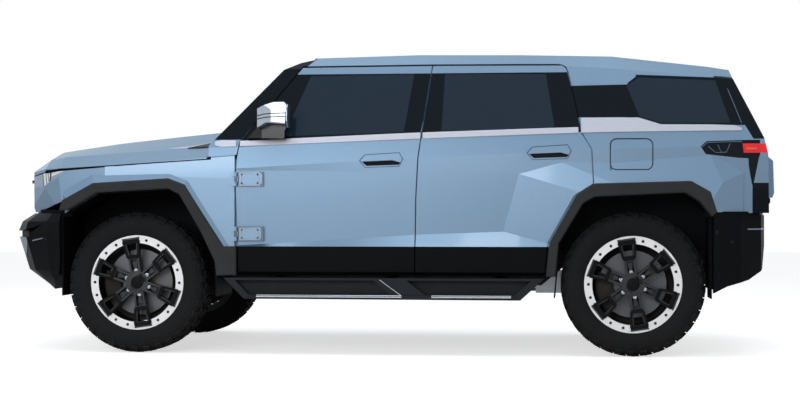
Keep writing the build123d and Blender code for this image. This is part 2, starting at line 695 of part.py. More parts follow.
# Wheels
def tyre(x, side):
    """Tyre as a ring about the axle."""
    half = tyre_width / 2
    tread = tyre_tread_width / 2
    bead = rim_width / 2 - flange_width - fit_gap
    with BuildPart() as piece:
        with BuildSketch(Plane.YZ):
            with BuildLine():
                sidewall = (
                    (bead, rim_bead_radius + fit_gap), (bead, rim_flange_radius + fit_gap),
                    (rim_width / 2 + 1, rim_flange_radius + fit_gap), (half - 5, 318), (half, 350),
                    (half - 8, 398), (tread, tyre_radius),
                )
                Polyline(*sidewall, *[(-y, r) for y, r in sidewall[::-1]], close=True)
            make_face()
        revolve(axis=Axis.Y)
    return piece.part.move(Location((x, side * wheel_plane_y, axle_z)))


# Spoke outlines, radius and half width: body, frame over the ring, window, middle groove, pad by the wheel nut
spoke_body = ((40, 30), (150, 34), (252, 52))
spoke_frame = ((148, 34), (274, 55))
spoke_window = ((162, 21), (240, 32))
spoke_groove = ((70, 19), (142, 22))
spoke_pad = ((66, 17), (126, 15))
spoke_back_y = 66
spoke_face_y = 122
frame_back_y = 108
groove_floor_y = 88
pad_face_y = 104
disc_radius = 200
nut_circle_radius = 73
nut_radius = 9
nut_top_y = 112


def spoke_points(rows):
    """Corners of an outline from rows of radius and half width."""
    return [(r, -w) for r, w in rows] + [(r, w) for r, w in rows[::-1]]


def wheel(x, side):
    """Six-spoke wheel with flange ring, hub and brake disc."""
    with BuildPart() as piece:
        with BuildSketch(Plane.YZ):
            with BuildLine():
                rim_edge = rim_width / 2
                bead = rim_edge - flange_width
                Polyline(
                    (bead, rim_bead_radius), (bead, rim_flange_radius), (rim_edge, rim_flange_radius),
                    (rim_edge, rim_ring_radius), (bead, rim_ring_radius), (bead - 14, rim_bead_radius - rim_wall),
                    (-rim_edge, rim_bead_radius - rim_wall), (-rim_edge, rim_flange_radius),
                    (-bead, rim_flange_radius), (-bead, rim_bead_radius), close=True,
                )
            make_face()
        revolve(axis=Axis.Y)
        with BuildSketch(Plane.XZ.offset(-spoke_back_y)):
            with PolarLocations(0, spoke_count, start_angle=spoke_start):
                Polygon(*spoke_points(spoke_body), align=None)
        extrude(amount=-(spoke_face_y - spoke_back_y))
        with BuildSketch(Plane.XZ.offset(-frame_back_y)):
            with PolarLocations(0, spoke_count, start_angle=spoke_start):
                Polygon(*spoke_points(spoke_frame), align=None)
        extrude(amount=-(spoke_face_y - frame_back_y))
        with BuildSketch(Plane.XZ.offset(-spoke_back_y)):
            with PolarLocations(0, spoke_count, start_angle=spoke_start):
                Polygon(*spoke_points(spoke_window), align=None)
        extrude(amount=-(spoke_face_y - spoke_back_y), mode=Mode.SUBTRACT)
        with BuildSketch(Plane.XZ.offset(-groove_floor_y)):
            with PolarLocations(0, spoke_count, start_angle=spoke_start):
                Polygon(*spoke_points(spoke_groove), align=None)
        extrude(amount=-(spoke_face_y - groove_floor_y), mode=Mode.SUBTRACT)
        with BuildSketch(Plane.XZ.offset(-groove_floor_y)):
            with PolarLocations(0, spoke_count, start_angle=spoke_start):
                Polygon(*spoke_points(spoke_pad), align=None)
        extrude(amount=-(pad_face_y - groove_floor_y))
        with BuildSketch(Plane.XZ.offset(-pad_face_y)):
            with PolarLocations(nut_circle_radius, spoke_count, start_angle=spoke_start):
                Circle(nut_radius)
        extrude(amount=-(nut_top_y - pad_face_y))
        with BuildSketch(Plane.XZ.offset(8)):
            Circle(hub_radius)
        extrude(amount=-(pad_face_y + 8))
        with BuildSketch(Plane.XZ.offset(-pad_face_y)):
            Circle(cap_radius)
        extrude(amount=-(spoke_face_y - pad_face_y), taper=12)
        with BuildSketch(Plane.XZ.offset(-5)):
            Circle(disc_radius)
        extrude(amount=-25)
    placed = piece.part
    if side < 0:
        placed = mirror(placed, about=Plane.XZ)
    return placed.move(Location((x, side * wheel_plane_y, axle_z)))


for end, axle_x in (("front", front_axle_x), ("rear", rear_axle_x)):
    for hand, side in (("left", 1), ("right", -1)):
        keep(f"tyre_{end}_{hand}", tyre(axle_x, side))
        keep(f"wheel_{end}_{hand}", wheel(axle_x, side))

# Steering knuckles: post on the kingpin axis with a stub axle
post_radius = 28
post_half = 130
stub_radius = 32
hub_back_y = wheel_plane_y - 8
for hand, side in (("left", 1), ("right", -1)):
    post = rod(Plane(origin=(front_axle_x, side * kingpin_y, axle_z - post_half), z_dir=(0, 0, 1)), post_radius, 2 * post_half)
    stub = rod(Plane(origin=(front_axle_x, side * (kingpin_y - 30), axle_z), z_dir=(0, side, 0)), stub_radius, hub_back_y - kingpin_y + 30)
    keep(f"knuckle_{hand}", joined(post, stub))

# Suspension arms, rear axle and coil springs
arm_thickness = 30
arm_plan = ((front_axle_x - 120, rail_outer_y), (front_axle_x - 30, 560), (front_axle_x - 30, kingpin_y + 30), (front_axle_x + 30, kingpin_y + 30), (front_axle_x + 30, 560), (front_axle_x + 120, rail_outer_y))
lower_arm = plan_prism(arm_plan, axle_z - post_half - arm_thickness, axle_z - post_half)
upper_arm = plan_prism(arm_plan, axle_z + post_half, axle_z + post_half + arm_thickness)
bracket = block(front_axle_x - 120, front_axle_x + 120, rail_inner_y + 10, rail_outer_y, axle_z - post_half - arm_thickness, 530)
rear_tube = rod(Plane(origin=(rear_axle_x, -hub_back_y, axle_z), z_dir=(0, 1, 0)), 45, 2 * hub_back_y)
spring_rear = rod(Plane(origin=(rear_axle_x, 415, axle_z), z_dir=(0, 0, 1)), 50, 570 - axle_z)
keep("suspension", joined(both_sides(joined(lower_arm, bracket)), both_sides(upper_arm), rear_tube, both_sides(spring_rear)))

# Interior
seat_outline = (
    (350, 585), (420, 850), (380, 980), (-60, 940), (-230, 1420), (-330, 1410), (-180, 900), (-130, 585),
)
seat_width = 520
seat_y = 380
headrest_outline = ((-240, 1400), (-252, 1560), (-300, 1590), (-345, 1570), (-330, 1400))
headrest_width = 260
seat = joined(
    side_prism(seat_outline, seat_y - seat_width / 2, seat_y + seat_width / 2),
    side_prism(headrest_outline, seat_y - headrest_width / 2, seat_y + headrest_width / 2),
)
keep("front_seats", both_sides(seat))
bench_outline = ((-480, 720), (-470, 960), (-880, 930), (-1080, 1400), (-1180, 1390), (-1060, 760), (-960, 700), (-900, 585), (-600, 585))
keep("rear_bench", side_prism(bench_outline, -640, 640))
dash_outline = ((1035, 900), (1035, 1145), (860, 1235), (720, 1200), (700, 1080), (800, 900))
column = Plane(origin=(680, seat_y, 1115), z_dir=(-cos(radians(25)), 0, sin(radians(25))))
keep("dashboard", joined(side_prism(dash_outline, -780, 780), rod(column.offset(-60), 34, 60)))
with BuildPart() as steering_wheel:
    with BuildSketch(column.offset(fit_gap)):
        Circle(30)
    extrude(amount=120)
    with BuildSketch(column.offset(105)):
        Circle(190)
        Circle(162, mode=Mode.SUBTRACT)
        Rectangle(350, 36)
    extrude(amount=26)
keep("steering_wheel", steering_wheel.part)

# Mirrors and door hinges
mirror_side = (
    (748, 1372), (747, 1439), (738, 1471), (697, 1491), (614, 1520), (587, 1523), (561, 1509), (549, 1493),
    (557, 1382), (674, 1392), (742, 1356),
)
mirror_plan = ((548, 985), (548, 1114), (640, 1120), (730, 1080), (750, 985))
mirror_front = ((985, 1350), (985, 1506), (1010, 1523), (1085, 1514), (1120, 1468), (1120, 1396), (1085, 1350))
mirror_foot_side = ((573, 1387), (570, 1366), (582, 1349), (582, 1302), (817, 1306), (759, 1360), (691, 1392))
mirror_foot_plan = ((560, 890), (560, 985), (720, 985), (817, 935), (817, 890))
mirror_shell = common(
    side_prism(mirror_side, 985, 1120), plan_prism(mirror_plan, 1300, 1600), cross_prism(mirror_front, 500, 800),
)
mirror_foot = common(side_prism(mirror_foot_side, 890, 985), plan_prism(mirror_foot_plan, 1250, 1450))
mirror_left = cut(joined(mirror_shell, mirror_foot), cabin_outer)
keep("mirror_left", mirror_left)
keep("mirror_right", mirror(mirror_left, about=Plane.XZ))
plates = []
for low, high in plate_rows:
    plate = cut(block(713, hinge_x - 14, 900, hinge_y - 2, low, high), cabin_outer)
    link = cut(block(hinge_x - 16, hinge_x, 940, hinge_y + 6, low + knuckle_height, high - knuckle_height), cabin_outer)
    barrel_plane = Plane(origin=(hinge_x, hinge_y, low + knuckle_height), z_dir=(0, 0, 1))
    plates.append(joined(plate, link, rod(barrel_plane, barrel_radius, high - low - 2 * knuckle_height)))
hinge_plates = joined(*plates)
keep("hinges_left", hinge_plates)
keep("hinges_right", mirror(hinge_plates, about=Plane.XZ))

# Side steps
step_outer = ((951, 462), (825, 336), (-836, 333), (-977, 462))
step_front_window = ((880, 448), (800, 362), (-60, 362), (40, 448))
step_rear_window = ((-160, 448), (-270, 362), (-800, 362), (-900, 448))
step_frame = cut(
    side_prism(step_outer, 930, 1008), side_prism(step_front_window, 900, 1100), side_prism(step_rear_window, 900, 1100),
)
step = joined(step_frame, side_prism(step_outer, 930, 952, grow=-6))
step_board = block(-800, 790, 850, 1022, 338, 356)
step_struts = [block(x - 30, x + 30, rail_outer_y, 940, 410, 450) for x in (700, -20, -700)]
keep("side_steps", both_sides(joined(step, step_board, *step_struts)))

# Tail lamps
tail_lamp_outline = ((-1894, 1244), (-1930, 1276), (-2160, 1283), (-2300, 1284), (-2300, 1019), (-2195, 1019), (-2169, 1171), (-1924, 1199))
tail_lamp_zone = side_prism(tail_lamp_outline, 776, 1100)
lamp = common(cut(cabin_outer, cabin_pocket), tail_lamp_zone)
lamp = cut(lamp, cross_prism(tail_outline, -2420, -2040, grow=panel_gap))
lens_outline = ((-2140, 1262), (-2310, 1262), (-2310, 1207), (-2147, 1207))
lens_depth = 8
lens = cut(common(lamp, side_prism(lens_outline, 700, 1100)), cabin_hull(lens_depth, lens_depth, door_bottom_z))
keep("tail_lamp_lenses", both_sides(lens))
keep("tail_lamps", both_sides(cut(lamp, lens)))
for hand in ("left", "right"):
    keep(f"body_side_{hand}", cut(parts[f"body_side_{hand}"], parts["tail_lamps"], parts["tail_lamp_lenses"]))

os.makedirs("parts", exist_ok=True)
for name, piece in parts.items():
    export_step(piece, f"parts/{name}.step")
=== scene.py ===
import math
import bpy
from mathutils import Matrix, Vector


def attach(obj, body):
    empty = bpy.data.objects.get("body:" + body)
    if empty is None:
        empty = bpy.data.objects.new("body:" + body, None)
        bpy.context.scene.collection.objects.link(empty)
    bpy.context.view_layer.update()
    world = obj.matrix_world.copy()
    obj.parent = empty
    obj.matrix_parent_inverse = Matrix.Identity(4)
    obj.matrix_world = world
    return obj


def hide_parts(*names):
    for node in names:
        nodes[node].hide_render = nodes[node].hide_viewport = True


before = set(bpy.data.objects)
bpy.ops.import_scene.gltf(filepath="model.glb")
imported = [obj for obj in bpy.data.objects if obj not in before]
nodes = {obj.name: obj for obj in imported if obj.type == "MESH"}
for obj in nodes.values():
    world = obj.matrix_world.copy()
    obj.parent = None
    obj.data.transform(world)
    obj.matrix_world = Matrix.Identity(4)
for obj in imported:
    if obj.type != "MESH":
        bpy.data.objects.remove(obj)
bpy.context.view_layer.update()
print("frame loaded,", len(nodes), "nodes")

hands = (("left", "Left", 1), ("right", "Right", -1))
axleX = {"front": 1.5, "rear": -1.5}
wheelY = 0.825
axleZ = 0.428


# Modelling helpers


def clearSelection():
    for item in list(bpy.context.selected_objects):
        item.select_set(False)
    bpy.context.view_layer.objects.active = None


def selectOnly(piece):
    clearSelection()
    piece.select_set(True)
    bpy.context.view_layer.objects.active = piece


def newest(name):
    piece = bpy.context.view_layer.objects.active
    piece.name = name
    piece.data.name = name
    return piece


def startPiece(name, add, **settings):
    # a new primitive, with nothing else selected
    clearSelection()
    add(**settings)
    return newest(name)


def setVertices(piece, places):
    for vertex, point in zip(piece.data.vertices, places):
        vertex.co = point


def editSteps(piece, *steps):
    # runs edit-mode steps on the whole piece
    selectOnly(piece)
    bpy.ops.object.mode_set(mode="EDIT")
    bpy.ops.mesh.select_all(action="SELECT")
    for step in steps:
        step()
    bpy.ops.object.mode_set(mode="OBJECT")


def withModifier(piece, kind, **settings):
    selectOnly(piece)
    modifier = piece.modifiers.new(kind.title(), kind)
    for key, value in settings.items():
        setattr(modifier, key, value)
    bpy.ops.object.modifier_apply(modifier=modifier.name)


def bevelEdges(piece, width, segments=1, angle=40):
    limit = {"limit_method": "ANGLE", "angle_limit": math.radians(angle)}
    withModifier(piece, "BEVEL", width=width, segments=segments, **limit)


def finishMesh(piece, smooth=30):
    # merged, facing outwards, smooth below the angle, place in the mesh
    selectOnly(piece)
    bpy.ops.object.transform_apply(location=True, rotation=True, scale=True)
    editSteps(
        piece,
        lambda: bpy.ops.mesh.remove_doubles(threshold=0.00002),
        lambda: bpy.ops.mesh.normals_make_consistent(inside=False),
    )
    selectOnly(piece)
    bpy.ops.object.shade_smooth_by_angle(angle=math.radians(smooth))


def setLook(piece, look):
    piece.data.materials.clear()
    piece.data.materials.append(materials[look])


def place(piece, body, look, stands=()):
    setLook(piece, look)
    if stands:
        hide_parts(*stands)
    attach(piece, body)
    return piece


def copyPiece(piece, name, matrix):
    twin = piece.copy()
    twin.data = piece.data.copy()
    twin.name = name
    twin.data.name = name
    bpy.context.scene.collection.objects.link(twin)
    twin.data.transform(matrix)
    if matrix.determinant() < 0:
        twin.data.flip_normals()
    return twin


def joinPieces(pieces, name):
    clearSelection()
    for piece in pieces:
        piece.select_set(True)
    bpy.context.view_layer.objects.active = pieces[0]
    if len(pieces) > 1:
        bpy.ops.object.join()
    return newest(name)


def softened(piece, bevel, segments=1, smooth=30):
    # finished, then given rounded edges where the bevel isn't zero
    finishMesh(piece, smooth)
    if bevel:
        bevelEdges(piece, bevel, segments)
        finishMesh(piece, smooth)
    return piece


def boxPiece(name, corner, opposite, bevel=0.003, segments=2):
    # a cube set between two opposite corners, with rounded edges
    middle = [(a + b) / 2 for a, b in zip(corner, opposite)]
    piece = startPiece(name, bpy.ops.mesh.primitive_cube_add, size=1, location=middle)
    size = [abs(b - a) for a, b in zip(corner, opposite)]
    editSteps(piece, lambda: bpy.ops.transform.resize(value=size))
    return softened(piece, bevel, segments)


def prismPiece(name, outline, axis, start, length, bevel=0.002, segments=1):
    # an outline in the two other axes, extruded along the axis
    piece = startPiece(name, bpy.ops.mesh.primitive_circle_add, vertices=len(outline), fill_type="NGON")
    index = "XYZ".index(axis)
    setVertices(piece, [(*point[:index], start, *point[index:]) for point in outline])
    move = [length if other == index else 0 for other in range(3)]
    editSteps(piece, lambda: bpy.ops.mesh.extrude_region_move(TRANSFORM_OT_translate={"value": move}))
    return softened(piece, bevel, segments)


def sheetPiece(name, columns, move, bevel=0.0012):
    # a sheet of columns of points, open or closed on itself, given its thickness by the move
    tall = len(columns[0])
    cuts = {"x_subdivisions": len(columns) - 1, "y_subdivisions": tall - 1}
    piece = startPiece(name, bpy.ops.mesh.primitive_grid_add, size=1, **cuts)
    setVertices(piece, [column[row] for row in range(tall) for column in columns])
    editSteps(
        piece,
        lambda: bpy.ops.mesh.remove_doubles(threshold=0.00002),
        lambda: bpy.ops.mesh.extrude_region_move(TRANSFORM_OT_translate={"value": move}),
    )
    return softened(piece, bevel, smooth=20)


def skinPiece(name, columns, surface, side, lift, thick, bevel=0.0012, push=(1, 0)):
    # a sheet of columns of (x, z) points laid on a side surface, then pushed outwards and upwards
    laid = [
        [(x, side * (surface(x, z) + lift * push[0]), z + lift * push[1]) for x, z in column]
        for column in columns
    ]
    return sheetPiece(name, laid, (0, side * thick * push[0], thick * push[1]), bevel)


def spunPiece(name, profile, steps, centre=(0, 0, 0), axis=(0, 1, 0), smooth=30):
    # a closed profile of (radius, along) turned about the axis through the centre
    piece = startPiece(name, bpy.ops.mesh.primitive_circle_add, vertices=len(profile), fill_type="NOTHING")
    along = Vector(axis).normalized()
    across = Vector((1, 0, 0)) if abs(along.x) < 0.9 else Vector((0, 0, 1))
    across = (across - along * across.dot(along)).normalized()
    setVertices(piece, [Vector(centre) + across * radius + along * distance for radius, distance in profile])
    turn = {"steps": steps, "angle": 2 * math.pi, "center": centre, "axis": tuple(along)}
    editSteps(piece, lambda: bpy.ops.mesh.spin(**turn))
    finishMesh(piece, smooth)
    return piece


def repeatAround(piece, count):
    # copies about the wheel's axle, the first one included
    turn = 2 * math.pi * (count - 1) / count
    around = {"steps": count - 1, "dupli": True, "angle": turn, "center": (0, 0, 0), "axis": (0, 1, 0)}
    editSteps(piece, lambda: bpy.ops.mesh.spin(**around))
    return piece


def rodPiece(name, start, end, radius, sides=16, bevel=0):
    start, end = Vector(start), Vector(end)
    line = end - start
    piece = startPiece(
        name, bpy.ops.mesh.primitive_cylinder_add, vertices=sides, radius=radius, depth=line.length,
        location=(start + end) / 2, rotation=line.to_track_quat("Z", "Y").to_euler(),
    )
    return softened(piece, bevel, 2)


def bands(rows):
    # columns for skinPiece from rows of x, low z, high z
    return [[(x, low), (x, high)] for x, low, high in rows]


# Surfaces of the body that trim lies on


cabinRows = (
    # x, sill y, ledge z, low z, shoulder z, belt z, gutter z, roof z
    (1.150, 0.962, 0.645, 1.108, 1.116, 1.246, 1.690, 1.760),
    (0.870, 0.964, 0.655, 1.110, 1.122, 1.256, 1.728, 1.798),
    (0.420, 0.964, 0.680, 1.106, 1.148, 1.273, 1.738, 1.808),
    (-0.205, 0.964, 0.720, 1.098, 1.180, 1.298, 1.748, 1.822),
    (-0.830, 0.964, 0.742, 1.090, 1.208, 1.315, 1.750, 1.816),
    (-1.380, 0.960, 0.742, 1.095, 1.232, 1.332, 1.722, 1.802),
    (-1.950, 0.944, 0.742, 1.100, 1.242, 1.338, 1.668, 1.735),
    (-2.360, 0.909, 0.742, 1.100, 1.250, 1.340, 1.620, 1.668),
)
noseRows = (
    # x, fender y, gap z, crease y, crease z, dome y, dome z
    (0.860, 0.956, 1.200, 0.815, 1.268, 0.560, 1.376),
    (1.300, 0.956, 1.167, 0.812, 1.243, 0.545, 1.334),
    (1.700, 0.948, 1.141, 0.805, 1.219, 0.530, 1.293),
    (2.000, 0.905, 1.126, 0.775, 1.199, 0.510, 1.252),
    (2.100, 0.880, 1.116, 0.740, 1.184, 0.490, 1.238),
    (2.330, 0.700, 1.062, 0.600, 1.064, 0.450, 1.066),
)


def rowAt(rows, x):
    # the row of a table at an x, between its stations
    ordered = sorted(rows)
    x = min(max(x, ordered[0][0]), ordered[-1][0])
    for low, high in zip(ordered, ordered[1:]):
        if x <= high[0]:
            share = (x - low[0]) / (high[0] - low[0])
            return [a + (b - a) * share for a, b in zip(low, high)]
    return list(ordered[-1])


def outAt(section, z):
    # y of a section given as (y, z) points from the bottom up
    for (y0, z0), (y1, z1) in zip(section, section[1:]):
        if z <= z1:
            return y0 + (y1 - y0) * (z - z0) / (z1 - z0)
    return section[-1][0]


def cabinY(x, z):
    _, sill, ledge, low, shoulder, belt, gutter, roof = rowAt(cabinRows, x)
    section = [
        (sill - 0.034, 0.474), (sill, 0.498), (sill, 0.65), (sill - 0.018, ledge + 0.002),
        (sill - 0.008, low), (sill - 0.006, shoulder), (sill - 0.034, belt),
        (0.795, gutter), (0.69, roof), (0.31, roof + 0.018),
    ]
    return outAt(section, z)


def noseY(x, z):
    _, fender, gap, crease, creaseZ, dome, domeZ = rowAt(noseRows, x)
    return outAt([(fender, 0.4), (fender, gap), (crease, creaseZ), (dome, domeZ)], z)


# Shader helpers, and the groups shared by several materials


def addNode(tree, kind, **values):
    node = tree.nodes.new(kind)
    for key, value in values.items():
        if hasattr(node, key):
            setattr(node, key, value)
        else:
            node.inputs[key].default_value = value
    return node


def setSocket(tree, socket, value):
    # a constant is set on the socket, an output is linked to it
    if isinstance(value, (int, float, tuple)):
        socket.default_value = value
    else:
        tree.links.new(value, socket)


def feed(tree, node, **values):
    for key, value in values.items():
        setSocket(tree, node.inputs[key.replace("_", " ")], value)


def spot(tree):
    return addNode(tree, "ShaderNodeTexCoord").outputs["Object"]


def axesOf(tree, coords):
    split = addNode(tree, "ShaderNodeSeparateXYZ")
    tree.links.new(coords, split.inputs[0])
    return split.outputs


def noiseOver(tree, coords, **values):
    noise = addNode(tree, "ShaderNodeTexNoise", **values)
    tree.links.new(coords, noise.inputs["Vector"])
    return noise


def mathNode(tree, operation, *values):
    node = addNode(tree, "ShaderNodeMath", operation=operation)
    for socket, value in zip(node.inputs, values):
        setSocket(tree, socket, value)
    return node.outputs[0]


def allOf(tree, masks):
    total = masks[0]
    for mask in masks[1:]:
        total = mathNode(tree, "MULTIPLY", total, mask)
    return total


def anyOf(tree, masks):
    total = masks[0]
    for mask in masks[1:]:
        total = mathNode(tree, "MAXIMUM", total, mask)
    return total


def mixColour(tree, share, first, second):
    node = addNode(tree, "ShaderNodeMix", data_type="RGBA")
    for index, value in ((0, share), (6, first), (7, second)):
        setSocket(tree, node.inputs[index], value)
    return node.outputs[2]


def mixValue(tree, share, first, second):
    node = addNode(tree, "ShaderNodeMix", data_type="FLOAT")
    for index, value in ((0, share), (2, first), (3, second)):
        setSocket(tree, node.inputs[index], value)
    return node.outputs[0]


def shaderGroup(name, inputs, outputs):
    group = bpy.data.node_groups.new(name, "ShaderNodeTree")
    for label, value in inputs:
        socket = group.interface.new_socket(name=label, in_out="INPUT", socket_type="NodeSocketFloat")
        socket.default_value = value
    for label in outputs:
        group.interface.new_socket(name=label, in_out="OUTPUT", socket_type="NodeSocketFloat")
    return group, group.nodes.new("NodeGroupInput"), group.nodes.new("NodeGroupOutput")


def makeGrainGroup():
    # moulded or cast grain: its height for a bump, and a slow variation of the tone
    inputs = (("Scale", 400.0), ("Unevenness", 3.0))
    group, start, end = shaderGroup("mouldedGrain", inputs, ("Height", "Variation"))
    cells = addNode(group, "ShaderNodeTexVoronoi", feature="SMOOTH_F1")
    feed(group, cells, Vector=spot(group), Scale=start.outputs["Scale"])
    broad = noiseOver(group, spot(group), Detail=3.0)
    feed(group, broad, Scale=start.outputs["Unevenness"])
    feed(group, end, Height=cells.outputs["Distance"], Variation=broad.outputs["Fac"])
    return group


def makeDustGroup():
    # road dust that fades out upwards, broken up by noise
    group, start, end = shaderGroup("roadDust", (("Reach", 0.9), ("Amount", 0.3)), ("Mask",))
    noise = noiseOver(group, spot(group), Scale=7.0, Detail=6.0, Roughness=0.7)
    height = mathNode(group, "DIVIDE", axesOf(group, spot(group))["Z"], start.outputs["Reach"])
    fade = mathNode(group, "MAXIMUM", mathNode(group, "SUBTRACT", 1.0, height), 0.0)
    feed(group, end, Mask=allOf(group, [fade, noise.outputs["Fac"], start.outputs["Amount"]]))
    return group


def makeFlakeGroup():
    # metallic flake sparkle and a slow orange-peel wave
    group, start, end = shaderGroup("metalFlake", (("Flake", 900.0), ("Peel", 60.0)), ("Sparkle", "Wave"))
    for label, output in (("Flake", "Sparkle"), ("Peel", "Wave")):
        noise = noiseOver(group, spot(group), Detail=1.0)
        feed(group, noise, Scale=start.outputs[label])
        feed(group, end, **{output: noise.outputs["Fac"]})
    return group


grainGroup = makeGrainGroup()
dustGroup = makeDustGroup()
flakeGroup = makeFlakeGroup()


def useGroup(tree, group, **values):
    node = tree.nodes.new("ShaderNodeGroup")
    node.node_tree = group
    for key, value in values.items():
        node.inputs[key].default_value = value
    return node


def startMaterial(name, **values):
    material = bpy.data.materials.new(name)
    material.use_nodes = True
    tree = material.node_tree
    shader = tree.nodes["Principled BSDF"]
    for key, value in values.items():
        shader.inputs[key.replace("_", " ")].default_value = value
    return material, tree, shader


def linear(red, green, blue):
    # the scene-linear value of a display colour given in 0 to 255
    def channel(value):
        value = value / 255
        return value / 12.92 if value <= 0.04045 else ((value + 0.055) / 1.055) ** 2.4
    return (channel(red), channel(green), channel(blue), 1.0)


def bumpFrom(tree, shader, height, strength, distance):
    bump = addNode(tree, "ShaderNodeBump", Strength=strength, Distance=distance)
    tree.links.new(height, bump.inputs["Height"])
    tree.links.new(bump.outputs["Normal"], shader.inputs["Normal"])


def beyond(tree, coords, direction, limit):
    # 1 where the point lies further along the direction than the limit
    dot = addNode(tree, "ShaderNodeVectorMath", operation="DOT_PRODUCT")
    setSocket(tree, dot.inputs[0], coords)
    setSocket(tree, dot.inputs[1], direction)
    return mathNode(tree, "GREATER_THAN", dot.outputs["Value"], limit)


def within(tree, value, low, high):
    return allOf(tree, [mathNode(tree, "GREATER_THAN", value, low), mathNode(tree, "LESS_THAN", value, high)])


def insideOutline(tree, coords, outline):
    # 1 inside a convex outline of (x, z) points, on both sides of the car
    tests = []
    middleX = sum(x for x, z in outline) / len(outline)
    middleZ = sum(z for x, z in outline) / len(outline)
    for (x0, z0), (x1, z1) in zip(outline, outline[1:] + outline[:1]):
        a, c = z1 - z0, x0 - x1
        limit = a * x0 + c * z0
        if a * middleX + c * middleZ < limit:
            a, c, limit = -a, -c, -limit
        tests.append(beyond(tree, coords, (a, 0, c), limit))
    return allOf(tree, tests)


def insideAny(tree, coords, outlines):
    return anyOf(tree, [insideOutline(tree, coords, outline) for outline in outlines])


# Materials


paint = {
    "colour": linear(134, 160, 184), "deep": linear(118, 145, 171), "dust": linear(150, 145, 138),
    # paintedShade is painted shade, the body blue darkened, for the rim round a door's grip
    "metallic": 0.6, "roughness": 0.36, "coat": 0.6, "paintedShade": linear(62, 78, 94),
    "gloss": linear(9, 16, 24), "glossRoughness": 0.16, "glossCoat": 0.25,
    "claddingTop": 0.6505, "cladding": (linear(8, 10, 12), linear(14, 16, 19)), "claddingRoughness": 0.5,
}
belt = {
    # lower and upper line of the silver belt moulding, as (x, z) points from the front
    "low": ((0.866, 1.2560), (-0.240, 1.2980), (-1.200, 1.3290), (-2.005, 1.3380)),
    "high": ((0.866, 1.2900), (-0.130, 1.3320), (-0.984, 1.3580), (-1.179, 1.3630)),
}
doorBlack = {
    # convex (x, z) outlines of the gloss black round the windows, as those below
    "doorFront": [[(0.95, 1.25), (0.95, 1.70), (-0.299, 1.70), (-0.230, 1.30)]],
    "doorRear": [[(-0.20, 1.30), (-0.20, 1.70), (-1.20, 1.70), (-1.20, 1.335)]],
}
bodyBlack = [
    [(1.10, 1.297), (0.86, 1.297), (0.42, 1.80), (1.10, 1.80)],
    [(-1.09, 1.615), (-1.16, 1.422), (-1.545, 1.422), (-1.47, 1.622)],
    [(-1.47, 1.63), (-1.535, 1.682), (-1.52, 1.42), (-1.46, 1.42)],
    [(-1.52, 1.682), (-2.012, 1.661), (-2.105, 1.372), (-1.66, 1.372), (-1.52, 1.42)],
    [(-1.980, 1.672), (-2.080, 1.372), (-2.420, 1.372), (-2.150, 1.664)],
    [(-2.150, 1.386), (-2.205, 1.290), (-2.420, 1.290), (-2.420, 1.386)],
    [(-2.198, 1.030), (-2.198, 0.840), (-2.420, 0.840), (-2.420, 1.030)],
]
tailBlack = [
    [(-2.000, 0.948), (-2.000, 0.800), (-2.500, 0.800), (-2.500, 0.948)],
    [(-2.000, 1.300), (-2.000, 1.700), (-2.500, 1.700), (-2.500, 1.300)],
]
grip = {
    # the black recess behind a door's grip, and the outer and inner line of the rim round it, which carries painted
    # shade
    "recess": [(0.118, 1.161), (-0.07, 1.169), (-0.12, 1.154), (-0.107, 1.141), (0.089, 1.135)],
    "rim": [(0.132, 1.166), (0.099, 1.203), (-0.111, 1.216), (-0.134, 1.177), (-0.112, 1.130), (0.098, 1.124)],
    "rimInner": [
        (0.125, 1.166), (0.097, 1.1995), (-0.109, 1.2125), (-0.128, 1.177), (-0.110, 1.1335), (0.097, 1.1275),
    ],
    "rearDoor": (-1.004, 0.043),
}


def shifted(outline, move):
    return [(x + move[0], z + move[1]) for x, z in outline]


def makePaint(name, blackAreas=(), extraBlack=None, gripMove=None):
    # metallic blue over dark cladding, with gloss black areas and painted shade on a rim round the grip
    material, tree, shader = startMaterial(name, Coat_Roughness=0.06, IOR=1.5, Specular_IOR_Level=0.05)
    coords = spot(tree)
    flake = useGroup(tree, flakeGroup, Flake=1400.0, Peel=45.0)
    dust = useGroup(tree, dustGroup, Reach=1.0, Amount=0.16)
    grain = useGroup(tree, grainGroup, Scale=700.0, Unevenness=4.0)
    base = mixColour(tree, flake.outputs["Sparkle"], paint["deep"], paint["colour"])
    base = mixColour(tree, dust.outputs["Mask"], base, paint["dust"])
    below = mathNode(tree, "LESS_THAN", axesOf(tree, coords)["Z"], paint["claddingTop"])
    colour = mixColour(tree, below, base, mixColour(tree, grain.outputs["Variation"], *paint["cladding"]))
    metallic = mixValue(tree, below, paint["metallic"], 0.0)
    rough = mixValue(tree, below, paint["roughness"], paint["claddingRoughness"])
    coat = mixValue(tree, below, paint["coat"], 0.0)
    areas = list(blackAreas)
    if gripMove:
        outer, inner = [
            insideOutline(tree, coords, shifted(grip[line], gripMove)) for line in ("rim", "rimInner")
        ]
        # painted shade: the rim round the grip's recess is the body blue at half its brightness
        colour = mixColour(tree, mathNode(tree, "SUBTRACT", outer, inner), colour, paint["paintedShade"])
        areas.append(shifted(grip["recess"], gripMove))
    masks = [insideOutline(tree, coords, outline) for outline in areas]
    if extraBlack:
        masks.append(extraBlack(tree, coords))
    if masks:
        black = anyOf(tree, masks)
        colour = mixColour(tree, black, colour, paint["gloss"])
        metallic = mixValue(tree, black, metallic, 0.0)
        rough = mixValue(tree, black, rough, paint["glossRoughness"])
        coat = mixValue(tree, black, coat, paint["glossCoat"])
    feed(tree, shader, Base_Color=colour, Metallic=metallic, Roughness=rough, Coat_Weight=coat)
    bumpFrom(tree, shader, flake.outputs["Wave"], 0.03, 0.001)
    return material


